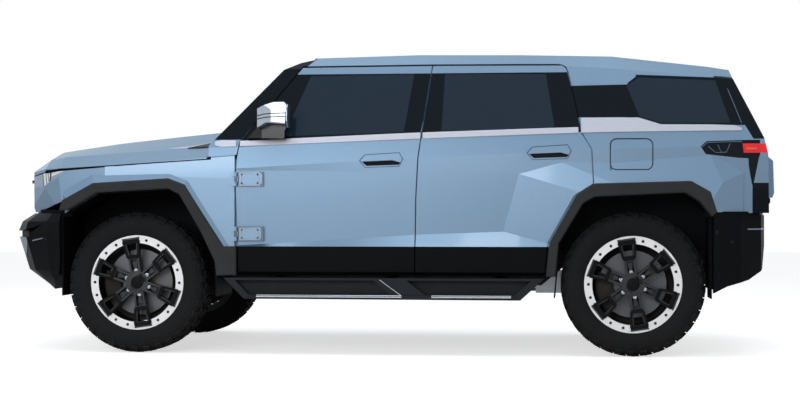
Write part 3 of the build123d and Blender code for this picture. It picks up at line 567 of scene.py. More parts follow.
def makeGrained(name, tones, roughness, grain, bump, dust=None, **values):
    # grain varies the surface between two tones and two roughnesses, and road dust lies low on it
    material, tree, shader = startMaterial(name, **values)
    pattern = useGroup(tree, grainGroup, Scale=grain[0], Unevenness=grain[1])
    colour = mixColour(tree, pattern.outputs["Variation"], *tones)
    if dust:
        reach, amount, tone = dust
        road = useGroup(tree, dustGroup, Reach=reach, Amount=amount)
        colour = mixColour(tree, road.outputs["Mask"], colour, tone)
    feed(tree, shader, Base_Color=colour, Roughness=mixValue(tree, pattern.outputs["Variation"], *roughness))
    bumpFrom(tree, shader, pattern.outputs["Height"], *bump)
    return material


def makePlastic(name, dark, light, roughness, grainScale=650.0, bump=0.25, dust=0.25, coat=0.0):
    return makeGrained(
        name, (linear(*dark), linear(*light)), (roughness - 0.08, roughness + 0.08), (grainScale, 5.0),
        (bump, 0.0006), (0.95, dust, linear(120, 114, 105)),
        Coat_Weight=coat, Coat_Roughness=0.1, Specular_IOR_Level=0.05,
    )


def makeMetal(name, dark, light, roughness, streaks=(60.0, 60.0, 60.0), bump=0.04, metallic=1.0, blackened=None):
    # streaks run along the axis with the smallest scale; the blackened part isn't metal
    material, tree, shader = startMaterial(name, Metallic=metallic)
    mapping = addNode(tree, "ShaderNodeMapping")
    feed(tree, mapping, Vector=spot(tree), Scale=streaks)
    streak = noiseOver(tree, mapping.outputs["Vector"], Scale=6.0, Detail=5.0).outputs["Fac"]
    colour = mixColour(tree, streak, linear(*dark), linear(*light))
    if blackened:
        mask = blackened(tree, spot(tree))
        colour = mixColour(tree, mask, colour, linear(14, 16, 19))
        feed(tree, shader, Metallic=mathNode(tree, "MULTIPLY", mathNode(tree, "SUBTRACT", 1.0, mask), metallic))
    rough = mixValue(tree, streak, roughness - 0.05, roughness + 0.05)
    feed(tree, shader, Base_Color=colour, Roughness=rough)
    bumpFrom(tree, shader, streak, bump, 0.0005)
    return material


def makeGlass(name, colour, transmission, roughness=0.02, specular=0.5):
    # shade and roughness drift a little over the pane
    values = {"Transmission_Weight": transmission, "IOR": 1.45, "Specular_IOR_Level": specular}
    material, tree, shader = startMaterial(name, **values)
    drift = noiseOver(tree, spot(tree), Scale=2.5, Detail=2.0).outputs["Fac"]
    darker = tuple(value * 0.85 for value in colour[:3]) + (1.0,)
    rough = mixValue(tree, drift, roughness, roughness + 0.03)
    feed(tree, shader, Base_Color=mixColour(tree, drift, darker, colour), Roughness=rough)
    return material


wheelLook = {
    # finish by place on the wheel: range of the radius, range of the distance out from its middle
    "ring": ((0.2405, 1.0), (0.1172, 0.1188)), "nut": ((0.062, 0.084), (0.1045, 0.1125)),
    "disc": ((-1.0, 0.2005), (0.002, 0.0305)),
    "cast": (linear(14, 15, 17), linear(24, 26, 29)), "brushed": (linear(104, 105, 108), linear(72, 73, 76)),
    "nutTone": linear(150, 153, 158), "white": (linear(246, 246, 248), linear(254, 254, 255)),
    "grooves": 2200.0, "metallic": 0.45, "roughness": (0.42, 0.36),
}


def makeWheelMaterial(name, x, side):
    # black cast alloy; machined white ring, steel nuts and brake disc by place on the wheel
    material, tree, shader = startMaterial(name)
    axes = axesOf(tree, spot(tree))
    offsets = [mathNode(tree, "SUBTRACT", axes["X"], x), mathNode(tree, "SUBTRACT", axes["Z"], axleZ)]
    squares = [mathNode(tree, "MULTIPLY", offset, offset) for offset in offsets]
    radius = mathNode(tree, "SQRT", mathNode(tree, "ADD", *squares))
    out = mathNode(tree, "SUBTRACT", mathNode(tree, "MULTIPLY", axes["Y"], side), wheelY)
    masks = {}
    for label in ("ring", "nut", "disc"):
        around, depth = wheelLook[label]
        masks[label] = allOf(tree, [within(tree, radius, *around), within(tree, out, *depth)])
    noise = noiseOver(tree, spot(tree), Scale=30.0, Detail=4.0).outputs["Fac"]
    grooves = mathNode(tree, "SINE", mathNode(tree, "MULTIPLY", radius, wheelLook["grooves"]))
    brushed = mixColour(tree, mathNode(tree, "MULTIPLY", grooves, 0.3), *wheelLook["brushed"])
    colour = mixColour(tree, masks["disc"], mixColour(tree, noise, *wheelLook["cast"]), brushed)
    colour = mixColour(tree, masks["nut"], colour, wheelLook["nutTone"])
    colour = mixColour(tree, masks["ring"], colour, mixColour(tree, noise, *wheelLook["white"]))
    metal = anyOf(tree, [masks["disc"], masks["nut"]])
    feed(
        tree, shader, Base_Color=colour, Metallic=mathNode(tree, "MULTIPLY", metal, wheelLook["metallic"]),
        Roughness=mixValue(tree, metal, *wheelLook["roughness"]),
    )
    bumpFrom(tree, shader, noise, 0.08, 0.0006)
    return material


lampAreas = {
    # the black face's block and tapering leg, and how far out the housing's rear face ends
    "block": [
        (-1.894, 1.246), (-1.925, 1.290), (-2.243, 1.290), (-2.243, 1.197), (-2.232, 1.172), (-2.086, 1.178),
        (-1.925, 1.198),
    ],
    "leg": [(-2.240, 1.200), (-2.202, 1.010), (-2.183, 1.010), (-2.172, 1.200)],
    "rearY": 0.868,
}


def lampBlack(tree, coords):
    across = mathNode(tree, "ABSOLUTE", axesOf(tree, coords)["Y"])
    rearFace = mathNode(tree, "LESS_THAN", across, lampAreas["rearY"])
    return anyOf(tree, [insideAny(tree, coords, [lampAreas["block"], lampAreas["leg"]]), rearFace])


headlampMarks = {
    # convex (x, z) outlines: the white blocks of light and the dark lines between them
    "white": [
        [(2.124, 1.100), (2.112, 1.016), (2.074, 1.044), (2.062, 1.106)],
        [(2.054, 1.112), (2.056, 1.076), (1.978, 1.106), (1.960, 1.118)],
    ],
    "dark": [
        [(2.132, 1.126), (2.124, 1.126), (2.108, 1.004), (2.117, 1.004)],
        [(2.102, 1.108), (2.097, 1.108), (2.088, 1.030), (2.093, 1.030)],
        [(2.085, 1.108), (2.081, 1.108), (2.073, 1.044), (2.077, 1.044)],
        [(2.063, 1.116), (2.054, 1.116), (2.062, 1.050), (2.073, 1.046)],
        [(2.138, 1.118), (2.138, 1.100), (1.900, 1.118), (1.900, 1.140)],
    ],
    "clear": linear(146, 168, 192), "light": linear(236, 239, 244), "line": linear(24, 28, 34),
    "haze": linear(90, 100, 112),
}


def makeHeadlamp():
    # clear cover over white light blocks edged with dark lines
    material, tree, shader = startMaterial(
        "headlampCover", Metallic=0.0, Coat_Weight=0.5, Coat_Roughness=0.04, Specular_IOR_Level=0.3,
    )
    coords = spot(tree)
    noise = noiseOver(tree, coords, Scale=60.0, Detail=3.0).outputs["Fac"]
    colour = headlampMarks["clear"]
    for label, tone in (("white", "light"), ("dark", "line")):
        colour = mixColour(tree, insideAny(tree, coords, headlampMarks[label]), colour, headlampMarks[tone])
    shade = mixColour(tree, mathNode(tree, "MULTIPLY", noise, 0.25), colour, headlampMarks["haze"])
    feed(tree, shader, Base_Color=shade, Roughness=mixValue(tree, noise, 0.1, 0.2))
    bumpFrom(tree, shader, noise, 0.05, 0.0005)
    return material


mirrorAreas = {
    # foot and arm lie inboard of y and below z, and two stripes go round the shell in convex halves
    "footY": 0.9875, "footZ": 1.395,
    "stripes": [
        [(0.752, 1.4255), (0.752, 1.4325), (0.676, 1.4455), (0.676, 1.4395)],
        [(0.676, 1.4395), (0.676, 1.4455), (0.540, 1.4510), (0.540, 1.4445)],
        [(0.752, 1.4065), (0.752, 1.4130), (0.676, 1.4250), (0.676, 1.4190)],
        [(0.676, 1.4190), (0.676, 1.4250), (0.540, 1.4300), (0.540, 1.4235)],
    ],
}


def mirrorDark(tree, coords):
    axes = axesOf(tree, coords)
    inboard = mathNode(tree, "LESS_THAN", mathNode(tree, "ABSOLUTE", axes["Y"]), mirrorAreas["footY"])
    low = mathNode(tree, "LESS_THAN", axes["Z"], mirrorAreas["footZ"])
    return anyOf(tree, [allOf(tree, [inboard, low]), insideAny(tree, coords, mirrorAreas["stripes"])])


roofLine = {"across": (0.735, 0.678), "point": (0.46, 1.7675)}


def roofHeader(tree, coords):
    # gloss black ahead of the line where the blue roof band ends
    (acrossX, acrossZ), (x, z) = roofLine["across"], roofLine["point"]
    return beyond(tree, coords, (acrossX, 0, acrossZ), acrossX * x + acrossZ * z)


plastics = {
    # name, dark tone, light tone, roughness, scale of the grain, bump, dust, coat
    "plastic": ("grainedPlastic", (46, 47, 49), (60, 61, 63), 0.5, 650.0, 0.25, 0.10),
    "darkPlastic": ("darkGrainedPlastic", (8, 10, 13), (14, 16, 20), 0.5, 650.0, 0.25, 0.04),
    "bumperPlastic": ("bumperPlastic", (12, 14, 16), (19, 21, 24), 0.42, 520.0, 0.2, 0.05),
    "stepPlastic": ("stepPlastic", (32, 36, 41), (44, 48, 53), 0.38, 420.0, 0.2, 0.08),
    "gloss": ("glossBlack", (7, 10, 14), (11, 15, 20), 0.18, 900.0, 0.02, 0.03, 0.3),
    "chassis": ("chassisCoating", (20, 20, 22), (34, 34, 36), 0.55, 300.0, 0.3, 0.5),
    "interior": ("interiorMoulding", (32, 32, 35), (46, 46, 50), 0.6, 480.0, 0.3, 0.0),
}
metals = {
    # name, dark tone, light tone, roughness, streaks, bump, metallic, part that is black plastic
    "iron": ("castIron", (70, 70, 72), (102, 101, 100), 0.6, (40.0, 40.0, 40.0), 0.25, 0.8),
    "steel": ("brushedSteel", (168, 172, 178), (205, 208, 214), 0.3, (10.0, 60.0, 60.0)),
    "silver": ("beltSilver", (196, 194, 204), (222, 221, 230), 0.3, (4.0, 60.0, 60.0), 0.02, 0.75),
    "chrome": ("platedChrome", (205, 214, 226), (226, 233, 242), 0.1, (5.0, 5.0, 5.0), 0.01),
    "skid": ("skidSilver", (118, 130, 146), (150, 162, 178), 0.36, (5.0, 40.0, 40.0), 0.04, 0.7),
    "hinge": ("hingeMetal", (84, 98, 114), (104, 118, 134), 0.36, (30.0, 30.0, 30.0), 0.03, 0.7),
    "mirrorCap": ("mirrorCap", (176, 186, 196), (196, 204, 212), 0.2, (5.0, 5.0, 5.0), 0.01, 0.75, mirrorDark),
}
redGlow = {"Emission_Color": (0.75, 0.01, 0.02, 1.0), "Emission_Strength": 0.55}

materials = {
    "paint": makePaint("bodyPaint"),
    "paintFront": makePaint("frontDoorPaint", doorBlack["doorFront"], gripMove=(0.0, 0.0)),
    "paintRear": makePaint("rearDoorPaint", doorBlack["doorRear"], gripMove=grip["rearDoor"]),
    "paintTail": makePaint("tailgatePaint", tailBlack),
    "paintSide": makePaint("bodySidePaint", bodyBlack),
    "paintRoof": makePaint("roofPaint", extraBlack=roofHeader),
    "lampSurround": makePaint("lampSurround", bodyBlack[-1:], lampBlack),
    "headlamp": makeHeadlamp(),
    "glass": makeGlass("tintedGlass", (0.016, 0.034, 0.060, 1.0), 0.3, specular=0.25),
    "redLens": makeGlass("redLens", (0.55, 0.012, 0.02, 1.0), 0.35, 0.05),
    "amber": makeGlass("amberLens", (0.9, 0.22, 0.03, 1.0), 0.2, 0.1),
    "tyre": makeGrained(
        "tyreRubber", (linear(13, 14, 16), linear(26, 28, 31)), (0.62, 0.85), (500.0, 9.0), (0.3, 0.0006),
        (1.1, 0.1, linear(96, 90, 82)), Specular_IOR_Level=0.12,
    ),
    "leather": makeGrained(
        "seatLeather", (linear(34, 33, 34), linear(50, 48, 48)), (0.45, 0.62), (260.0, 7.0), (0.35, 0.0012),
        Sheen_Weight=0.15, Specular_IOR_Level=0.45,
    ),
}
for label, values in plastics.items():
    materials[label] = makePlastic(*values)
for label, values in metals.items():
    materials[label] = makeMetal(*values)
redTree = materials["redLens"].node_tree
feed(redTree, redTree.nodes["Principled BSDF"], **redGlow)
for end, x in axleX.items():
    for hand, _, side in hands:
        label = f"wheel_{end}_{hand}"
        materials[label] = makeWheelMaterial(f"castAlloy_{end}_{hand}", x, side)
print("materials made,", len(materials))


nodeLooks = {
    "chassis": "frame_rails cross_members tow_receiver floor_pan suspension",
    "iron": "powertrain knuckle_left knuckle_right",
    "steel": "exhaust",
    "darkPlastic": "fuel_tank rear_bumper arch_liners",
    "bumperPlastic": "front_bumper",
    "plastic": "arch_flares",
    "stepPlastic": "side_steps",
    "gloss": "grille_panel",
    "glass": "fixed_glass tailgate_glass",
    "skid": "skid_plate",
    "paint": "cowl front_fenders bonnet fuel_flap",
    "paintSide": "body_side_left body_side_right",
    "paintRoof": "roof",
    "paintFront": "door_front_left door_front_right",
    "paintRear": "door_rear_left door_rear_right",
    "paintTail": "tailgate",
    "headlamp": "headlamps",
    "lampSurround": "tail_lamps",
    "redLens": "tail_lamp_lenses",
    "mirrorCap": "mirror_left mirror_right",
    "hinge": "hinges_left hinges_right",
    "interior": "dashboard steering_wheel",
    "leather": "front_seats rear_bench",
}
lookOf = {node: look for look, names in nodeLooks.items() for node in names.split()}
for node, piece in nodes.items():
    kind = node.split("_")[0]
    if kind == "wheel":
        look = node
    else:
        look = kind if kind in ("glass", "tyre") else lookOf[node]
    setLook(piece, look)
print("materials on the CAD nodes")


# Camera, light and floor


camera = {"eye": (-1.159, 10.888, 0.858), "turn": 186.0, "lens": 74.97, "shiftY": 0.015, "clip": 200}
facing = (math.radians(90), 0, math.radians(camera["turn"]))
bpy.ops.object.camera_add(location=camera["eye"], rotation=facing)
cameraPiece = bpy.context.view_layer.objects.active
cameraPiece.data.lens = camera["lens"]
cameraPiece.data.shift_y = camera["shiftY"]
cameraPiece.data.clip_end = camera["clip"]
bpy.context.scene.camera = cameraPiece

lamps = (
    # name, place, size x and y, watts, aimed at
    ("overheadSoftbox", (0.2, 1.2, 5.2), 7.5, 3.4, 130.0, (0.0, 0.0, 0.9)),
    ("sideSoftbox", (2.4, 8.6, 3.0), 6.0, 2.6, 230.0, (0.0, 0.9, 0.9)),
    ("rearSoftbox", (-6.5, -3.0, 3.6), 4.0, 2.4, 80.0, (0.0, 0.0, 0.9)),
    ("frontSoftbox", (6.5, -2.5, 3.6), 4.0, 2.4, 50.0, (0.0, 0.0, 0.9)),
)
for name, spotAt, sizeX, sizeY, watts, target in lamps:
    aim = (Vector(target) - Vector(spotAt)).to_track_quat("-Z", "Y").to_euler()
    bpy.ops.object.light_add(type="AREA", location=spotAt, rotation=aim)
    lamp = bpy.context.view_layer.objects.active
    lamp.name = name
    lamp.data.shape = "RECTANGLE"
    lamp.data.size = sizeX
    lamp.data.size_y = sizeY
    lamp.data.energy = watts

sky = {
    # what lights the scene, what mirrors and glass see, and what the camera sees
    "light": ((0.96, 0.98, 1.0, 1), 0.34), "mirrored": 0.8, "seen": ((1, 1, 1, 1), 1.0),
    # height as a share from straight down to straight up, colour
    "ramp": ((0.42, (0.55, 0.57, 0.60, 1)), (0.5, (0.95, 0.97, 1.0, 1)), (0.62, (0.78, 0.90, 1.0, 1))),
}


def makeSky():
    world = bpy.data.worlds.new("paleStudio")
    world.use_nodes = True
    tree = world.node_tree
    tree.nodes.clear()
    end = addNode(tree, "ShaderNodeOutputWorld")
    path = addNode(tree, "ShaderNodeLightPath").outputs
    upward = axesOf(tree, addNode(tree, "ShaderNodeTexCoord").outputs["Generated"])["Z"]
    ramp = addNode(tree, "ShaderNodeValToRGB")
    stops = ramp.color_ramp.elements
    stops.new(0.5)
    for stop, (position, colour) in zip(stops, sky["ramp"]):
        stop.position = position
        stop.color = colour
    feed(tree, ramp, Fac=mathNode(tree, "ADD", mathNode(tree, "MULTIPLY", upward, 0.5), 0.5))
    lighting, mirrored, seen = [addNode(tree, "ShaderNodeBackground") for _ in range(3)]
    feed(tree, lighting, Color=sky["light"][0], Strength=sky["light"][1])
    feed(tree, mirrored, Color=ramp.outputs["Color"], Strength=sky["mirrored"])
    feed(tree, seen, Color=sky["seen"][0], Strength=sky["seen"][1])
    mirrorRays = anyOf(tree, [path["Is Glossy Ray"], path["Is Transmission Ray"]])
    shown = lighting
    for share, other in ((mirrorRays, mirrored), (path["Is Camera Ray"], seen)):
        mixed = addNode(tree, "ShaderNodeMixShader")
        for socket, source in zip(mixed.inputs, (share, shown.outputs[0], other.outputs[0])):
            tree.links.new(source, socket)
        shown = mixed
    tree.links.new(shown.outputs[0], end.inputs["Surface"])
    return world


bpy.context.scene.world = makeSky()
bpy.context.scene.view_settings.view_transform = "Standard"

floorSettings = {
    "radius": 26.0, "corners": 48, "inset": 8.0, "glow": 0.62,
    "tones": ((0.80, 0.80, 0.80, 1), (0.84, 0.84, 0.84, 1)),
}
studioFloor = startPiece(
    "studioFloor", bpy.ops.mesh.primitive_circle_add, vertices=floorSettings["corners"],
    radius=floorSettings["radius"], fill_type="NGON",
)
editSteps(studioFloor, lambda: bpy.ops.mesh.inset(thickness=floorSettings["inset"]))
floorMaterial, floorTree, floorShader = startMaterial("paleFloor", Roughness=0.7, Specular_IOR_Level=0.2)
floorNoise = noiseOver(floorTree, spot(floorTree), Scale=1.3, Detail=4.0).outputs["Fac"]
cameraRays = addNode(floorTree, "ShaderNodeLightPath").outputs["Is Camera Ray"]
feed(
    floorTree, floorShader, Base_Color=mixColour(floorTree, floorNoise, *floorSettings["tones"]),
    Emission_Color=(1, 1, 1, 1),
    Emission_Strength=mathNode(floorTree, "MULTIPLY", cameraRays, floorSettings["glow"]),
)
studioFloor.data.materials.append(floorMaterial)
print("camera, lamps and floor")


# Wheels: tyres with all-terrain tread, ring bolts, spoke heads, nuts, caps, calipers and back plates


tread = {
    "pitches": 34, "base": 0.4165, "steps": 72,
    # blocks of one pitch: y low, y high, share low, share high, skew, top radius
    "blocks": (
        (-0.046, -0.004, 0.04, 0.56, 0.18, 0.428), (0.004, 0.046, 0.46, 0.98, -0.18, 0.428),
        (-0.094, -0.052, 0.30, 0.88, 0.10, 0.4275), (0.052, 0.094, 0.12, 0.70, -0.10, 0.4275),
    ),
    # outer blocks of one pitch: side, share low, share high
    "outer": ((-1, 0.06, 0.62), (1, 0.40, 0.96)),
    # their four edges: radius, y, share trimmed at both ends; and the bevel
    "shoulder": (((0.413, 0.098, 0), (0.384, 0.127, 0), (0.4265, 0.100, 0), (0.402, 0.1325, 0)), 0.0016),
    "sidewall": (
        ((0.352, 0.134, 0.1), (0.380, 0.128, 0.04), (0.354, 0.1378, 0.12), (0.380, 0.1352, 0.06)), 0.0008,
    ),
    # half of the casing's section, outside and inside: radius, y
    "profile": (
        (0.2642, 0.100), (0.2642, 0.1048), (0.2890, 0.1048), (0.2890, 0.1170), (0.3000, 0.1270),
        (0.3180, 0.1330), (0.3450, 0.1368), (0.3700, 0.1345), (0.3950, 0.1255), (0.4080, 0.1130),
        (0.4150, 0.0950), (0.4172, 0.0600), (0.4180, 0.0),
    ),
    "inside": (
        (0.4020, 0.0), (0.4000, 0.0850), (0.3820, 0.1100), (0.3400, 0.1200), (0.3000, 0.1080), (0.2800, 0.0950),
    ),
}


def onCircle(radius, angle, y=0):
    return Vector((radius * math.cos(angle), y, radius * math.sin(angle)))


def treadBlock(name, edges, bevel):
    # a cube whose corners go to the ends of four edges, lower two first: radius, y, share low, share high
    piece = startPiece(name, bpy.ops.mesh.primitive_cube_add, size=1)
    pitch = 2 * math.pi / tread["pitches"]
    corners = {}
    for index, (radius, y, start, end) in enumerate(edges):
        row = (1 if index % 2 else -1, 1 if index > 1 else -1)
        for column, share in ((-1, start), (1, end)):
            corners[(column, *row)] = onCircle(radius, share * pitch, y)
    for vertex in piece.data.vertices:
        vertex.co = corners[tuple(1 if value > 0 else -1 for value in vertex.co)]
    finishMesh(piece)
    bevelEdges(piece, bevel)
    return piece


def makeTyre():
    outer, inner = list(tread["profile"]), list(tread["inside"])
    closed = outer + [(radius, -y) for radius, y in outer[-2::-1]]
    closed += [(radius, -y) for radius, y in inner[:0:-1]] + inner
    casing = spunPiece("tyreCasing", closed, tread["steps"], smooth=35)
    blocks = []
    for low, high, start, end, skew, top in tread["blocks"]:
        edges = []
        for radius in (tread["base"], top):
            edges += [(radius, low, start, end), (radius, high, start + skew, end + skew)]
        blocks.append(treadBlock("treadBlock", edges, 0.0016))
    for sign, start, end in tread["outer"]:
        for label in ("shoulder", "sidewall"):
            rows, bevel = tread[label]
            edges = [(radius, sign * y, start + trim, end - trim) for radius, y, trim in rows]
            blocks.append(treadBlock(label + "Block", edges, bevel))
    pattern = repeatAround(joinPieces(blocks, "treadPattern"), tread["pitches"])
    whole = joinPieces([casing, pattern], "tyreMaster")
    selectOnly(whole)
    bpy.ops.object.shade_smooth_by_angle(angle=math.radians(35))
    return whole


ringBolts = {"circle": 0.2625, "radius": 0.0085, "spread": 8.7, "start": 81.5, "face": 0.1182, "tall": 0.0035}
caliper = {"start": 20, "end": 92, "inner": 0.115, "outer": 0.222, "low": 0.034, "high": 0.062, "steps": 9}


def makeBolt():
    # a low round head with a socket
    radius, tall = ringBolts["radius"], ringBolts["tall"]
    profile = (
        (0.0004, 0), (radius, 0), (radius, tall * 0.6), (radius * 0.8, tall), (0.004, tall),
        (0.0034, tall * 0.5), (0.0004, tall * 0.5),
    )
    return spunPiece("boltMaster", profile, 10)


def makeCaliper():
    # an arc block over the disc, from a section spun part of the way round
    inner, outer, low, high = [caliper[key] for key in ("inner", "outer", "low", "high")]
    section = (
        (inner, low), (outer, low), (outer, high - 0.008), (outer - 0.012, high), (inner + 0.02, high),
        (inner, high - 0.008),
    )
    circle = {"vertices": len(section), "fill_type": "NGON"}
    piece = startPiece("caliperMaster", bpy.ops.mesh.primitive_circle_add, **circle)
    setVertices(piece, [onCircle(radius, math.radians(caliper["start"]), y) for radius, y in section])
    sweep = math.radians(caliper["end"] - caliper["start"])
    turn = {"steps": caliper["steps"], "angle": -sweep, "center": (0, 0, 0), "axis": (0, 1, 0)}
    editSteps(
        piece,
        lambda: bpy.ops.mesh.spin(**turn),
        lambda: bpy.ops.mesh.select_all(action="SELECT"),
        lambda: bpy.ops.mesh.fill_holes(sides=0),
    )
    finishMesh(piece)
    bevelEdges(piece, 0.003, 2)
    return piece


# closed sections of the turned parts: radius, y
hubCap = (
    (0.0005, 0.1262), (0.018, 0.1256), (0.034, 0.1236), (0.043, 0.1205), (0.0455, 0.1150), (0.0005, 0.1150),
)
backPlate = ((0.070, -0.030), (0.236, -0.030), (0.240, -0.020), (0.234, -0.024), (0.070, -0.024))
wheelNuts = {"circle": 0.073, "radius": 0.0100, "low": 0.1030, "high": 0.1150, "seat": 0.004, "flange": 1.25}
spokeTurn = math.radians(17)  # from the solid wheel's first spoke to the photographed one
spokeHead = {
    # (radius, half width) of the framed head's corners, outer and inner edge
    "outer": ((0.146, 0.030), (0.158, 0.041), (0.252, 0.055), (0.264, 0.048)),
    "inner": ((0.170, 0.024), (0.172, 0.029), (0.238, 0.038), (0.242, 0.034)),
    "low": 0.1130, "high": 0.1290, "bevel": 0.0035,
}


def headColumns():
    # the frame's corners in order round the head, as columns of an outer and an inner point
    first = math.radians(ringBolts["start"])
    columns = []
    for outer, inner in zip(spokeHead["outer"], spokeHead["inner"]):
        columns.append([(radius, half) for radius, half in (outer, inner)])
    columns += [[(radius, -half) for radius, half in column] for column in reversed(columns)]
    along, across = onCircle(1, first), onCircle(1, first + math.pi / 2)
    laid = [
        [along * radius + across * half + Vector((0, spokeHead["low"], 0)) for radius, half in column]
        for column in columns
    ]
    return laid + laid[:1]


def makeSpokeHeads():
    thick = spokeHead["high"] - spokeHead["low"]
    heads = sheetPiece("headMaster", headColumns(), (0, thick, 0), 0)
    bevelEdges(heads, spokeHead["bevel"], 2)
    finishMesh(heads)
    return repeatAround(heads, 6)


def turnedWheel(node, name, x, side):
    # the wheel's own mesh, merged and rolled to the photographed angle
    centre = Vector((x, side * wheelY, axleZ))
    roll = Matrix.Translation(centre) @ Matrix.Rotation(spokeTurn, 4, "Y") @ Matrix.Translation(-centre)
    piece = copyPiece(nodes[node], name, roll)
    finishMesh(piece, 10)
    return piece


def makeNut():
    low, high, radius = wheelNuts["low"], wheelNuts["high"], wheelNuts["radius"]
    nut = rodPiece("nutMaster", (0, low, 0), (0, high, 0), radius, 6, 0.0012)
    flange = radius * wheelNuts["flange"]
    seat = rodPiece("nutSeat", (0, low, 0), (0, low + wheelNuts["seat"], 0), flange, 16, 0.0008)
    return joinPieces([nut, seat], "nutMaster")


def copiesAt(master, name, places):
    return joinPieces([copyPiece(master, "part", Matrix.Translation(spotAt)) for spotAt in places], name)


spokeAngles = [ringBolts["start"] + 60 * index for index in range(6)]
nutPlaces = [onCircle(wheelNuts["circle"], math.radians(angle)) for angle in spokeAngles]
boltPlaces = [
    onCircle(ringBolts["circle"], math.radians(angle + 30 + step), ringBolts["face"])
    for angle in spokeAngles
    for step in (-ringBolts["spread"], ringBolts["spread"])
]
tyreMaster = makeTyre()
boltMaster = makeBolt()
nutMaster = makeNut()
wheelParts = {
    # the master copied to each wheel, its slot and its look
    "spokeHeads": (makeSpokeHeads(), "wheel", "bumperPlastic"),
    "ringBolts": (copiesAt(boltMaster, "boltSet", boltPlaces), "steel", "chassis"),
    "caliper": (makeCaliper(), "steel", "chassis"),
    "backPlate": (spunPiece("plateMaster", backPlate, 48), "iron", "chassis"),
    "hubCap": (spunPiece("capMaster", hubCap, 32), "gloss_black", "bumperPlastic"),
    "wheelNuts": (copiesAt(nutMaster, "nutSet", nutPlaces), "steel", "chrome"),
}
for end, x in axleX.items():
    for hand, tag, side in hands:
        label = end.title() + tag
        matrix = Matrix.Translation((x, side * wheelY, axleZ)) @ Matrix.Scale(side, 4, (0, 1, 0))
        rolling = f"wheel_{end}_{hand}"
        carrier = f"knuckle_{hand}" if end == "front" else "body"
        place(copyPiece(tyreMaster, "tyre" + label, matrix), rolling, "tyre", [f"tyre_{end}_{hand}"])
        place(turnedWheel(rolling, "alloyWheel" + label, x, side), rolling, rolling, [rolling])
        for name, (master, slot, look) in wheelParts.items():
            body = carrier if name in ("caliper", "backPlate") else rolling
            place(copyPiece(master, name + label, matrix), body, look)
for master in [tyreMaster, boltMaster, nutMaster] + [parts[0] for parts in wheelParts.values()]:
    bpy.data.objects.remove(master)
print("wheels and brakes")


# Belt mouldings, silver quarter panel and bonnet vents


def along(points, x):
    # z of a line of (x, z) points at an x
    ordered = sorted(points)
    x = min(max(x, ordered[0][0]), ordered[-1][0])
    for (x0, z0), (x1, z1) in zip(ordered, ordered[1:]):
        if x <= x1:
            return z0 + (z1 - z0) * (x - x0) / (x1 - x0)
    return ordered[-1][1]


moulding = {"lift": -0.001, "thick": 0.0075, "bevel": 0.0022}
beltParts = (
    # name, body, x stations from the front
    ("beltFront", "door_front", (0.866, 0.680, 0.420, 0.100, -0.205, -0.236)),
    ("beltRear", "door_rear", (-0.2475, -0.500, -0.830, -0.984, -1.179)),
)
bodyStrips = {
    # x, z low, z high: the silver panel behind the rear door, and the strip ahead of the front door
    "silverQuarter": (
        (-1.194, 1.3290, 1.4190), (-1.380, 1.3325, 1.4195), (-1.535, 1.3340, 1.4195), (-1.665, 1.3355, 1.3780),
        (-1.950, 1.3380, 1.3760), (-2.095, 1.3390, 1.3720), (-2.140, 1.3395, 1.3560),
    ),
    "beltLead": ((0.8865, 1.2555, 1.2915), (0.980, 1.2525, 1.2935), (1.020, 1.2620, 1.2850)),
}
ventParts = (
    # name, slot, look, columns of (x, z) pairs on the dome facet above the crease
    ("ventFin", "steel", "silver", (
        ((1.336, 1.2455), (1.330, 1.2475)), ((1.217, 1.2490), (1.200, 1.2600)), ((1.085, 1.2810), (1.062, 1.2880)),
    )),
    ("ventSlot", "gloss_black", "gloss", (
        ((1.217, 1.2485), (1.205, 1.2510)), ((1.130, 1.2505), (1.110, 1.2720)), ((1.061, 1.2560), (1.052, 1.2810)),
    )),
)
ventShape = {"lift": -0.001, "thick": 0.007, "bevel": 0.001, "push": (0.39, 0.92)}


for hand, tag, side in hands:
    for name, body, stations in beltParts:
        columns = []
        for x in stations:
            low, high = along(belt["low"], x), along(belt["high"], x)
            columns.append([(x, low), (x, (low + high) / 2), (x, high)])
        strip = skinPiece(name + tag, columns, cabinY, side, **moulding)
        place(strip, f"{body}_{hand}", "silver")
    for name, rows in bodyStrips.items():
        strip = skinPiece(name + tag, bands(rows), cabinY, side, **moulding)
        place(strip, "body", "silver")
for hand, tag, side in hands:
    for name, slot, look, columns in ventParts:
        strip = skinPiece(name + tag, columns, noseY, side, **ventShape)
        place(strip, "bonnet", look)
print("belt mouldings and vents")


# Bright lines and amber bar of the tail lamps


lampLines = {
    "width": 0.0045, "parts": 6,
    "paths": (
        ((-1.941, 1.244), (-1.979, 1.210), (-2.020, 1.208), (-2.010, 1.219), (-1.996, 1.253)),
        ((-2.067, 1.259), (-2.045, 1.211), (-2.020, 1.208)),
        ((-1.905, 1.243), (-1.935, 1.268), (-2.060, 1.272), (-2.135, 1.273)),
    ),
    "amber": ((-2.160, 1.227, 1.237), (-2.222, 1.227, 1.237)),
}
lampShape = {"lift": -0.001, "thick": 0.003, "bevel": 0.0006}
for hand, tag, side in hands:
    marks = []
    for path in lampLines["paths"]:
        for first, last in zip(path, path[1:]):
            step = (Vector(last) - Vector(first)).normalized() * lampLines["width"] / 2
            start, end = Vector(first) - step, Vector(last) + step
            columns = []
            for share in range(lampLines["parts"] + 1):
                at = start.lerp(end, share / lampLines["parts"])
                columns.append([(at.x + step.y, at.y - step.x), (at.x - step.y, at.y + step.x)])
            marks.append(skinPiece("lampMark", columns, cabinY, side, **lampShape))
    place(joinPieces(marks, "lampLines" + tag), "body", "hinge")
    bar = skinPiece("lampAmber" + tag, bands(lampLines["amber"]), cabinY, side, **lampShape)
    place(bar, "body", "amber")
print("tail lamp lines")


# Exposed hinges: bright frame, painted panel and bolts


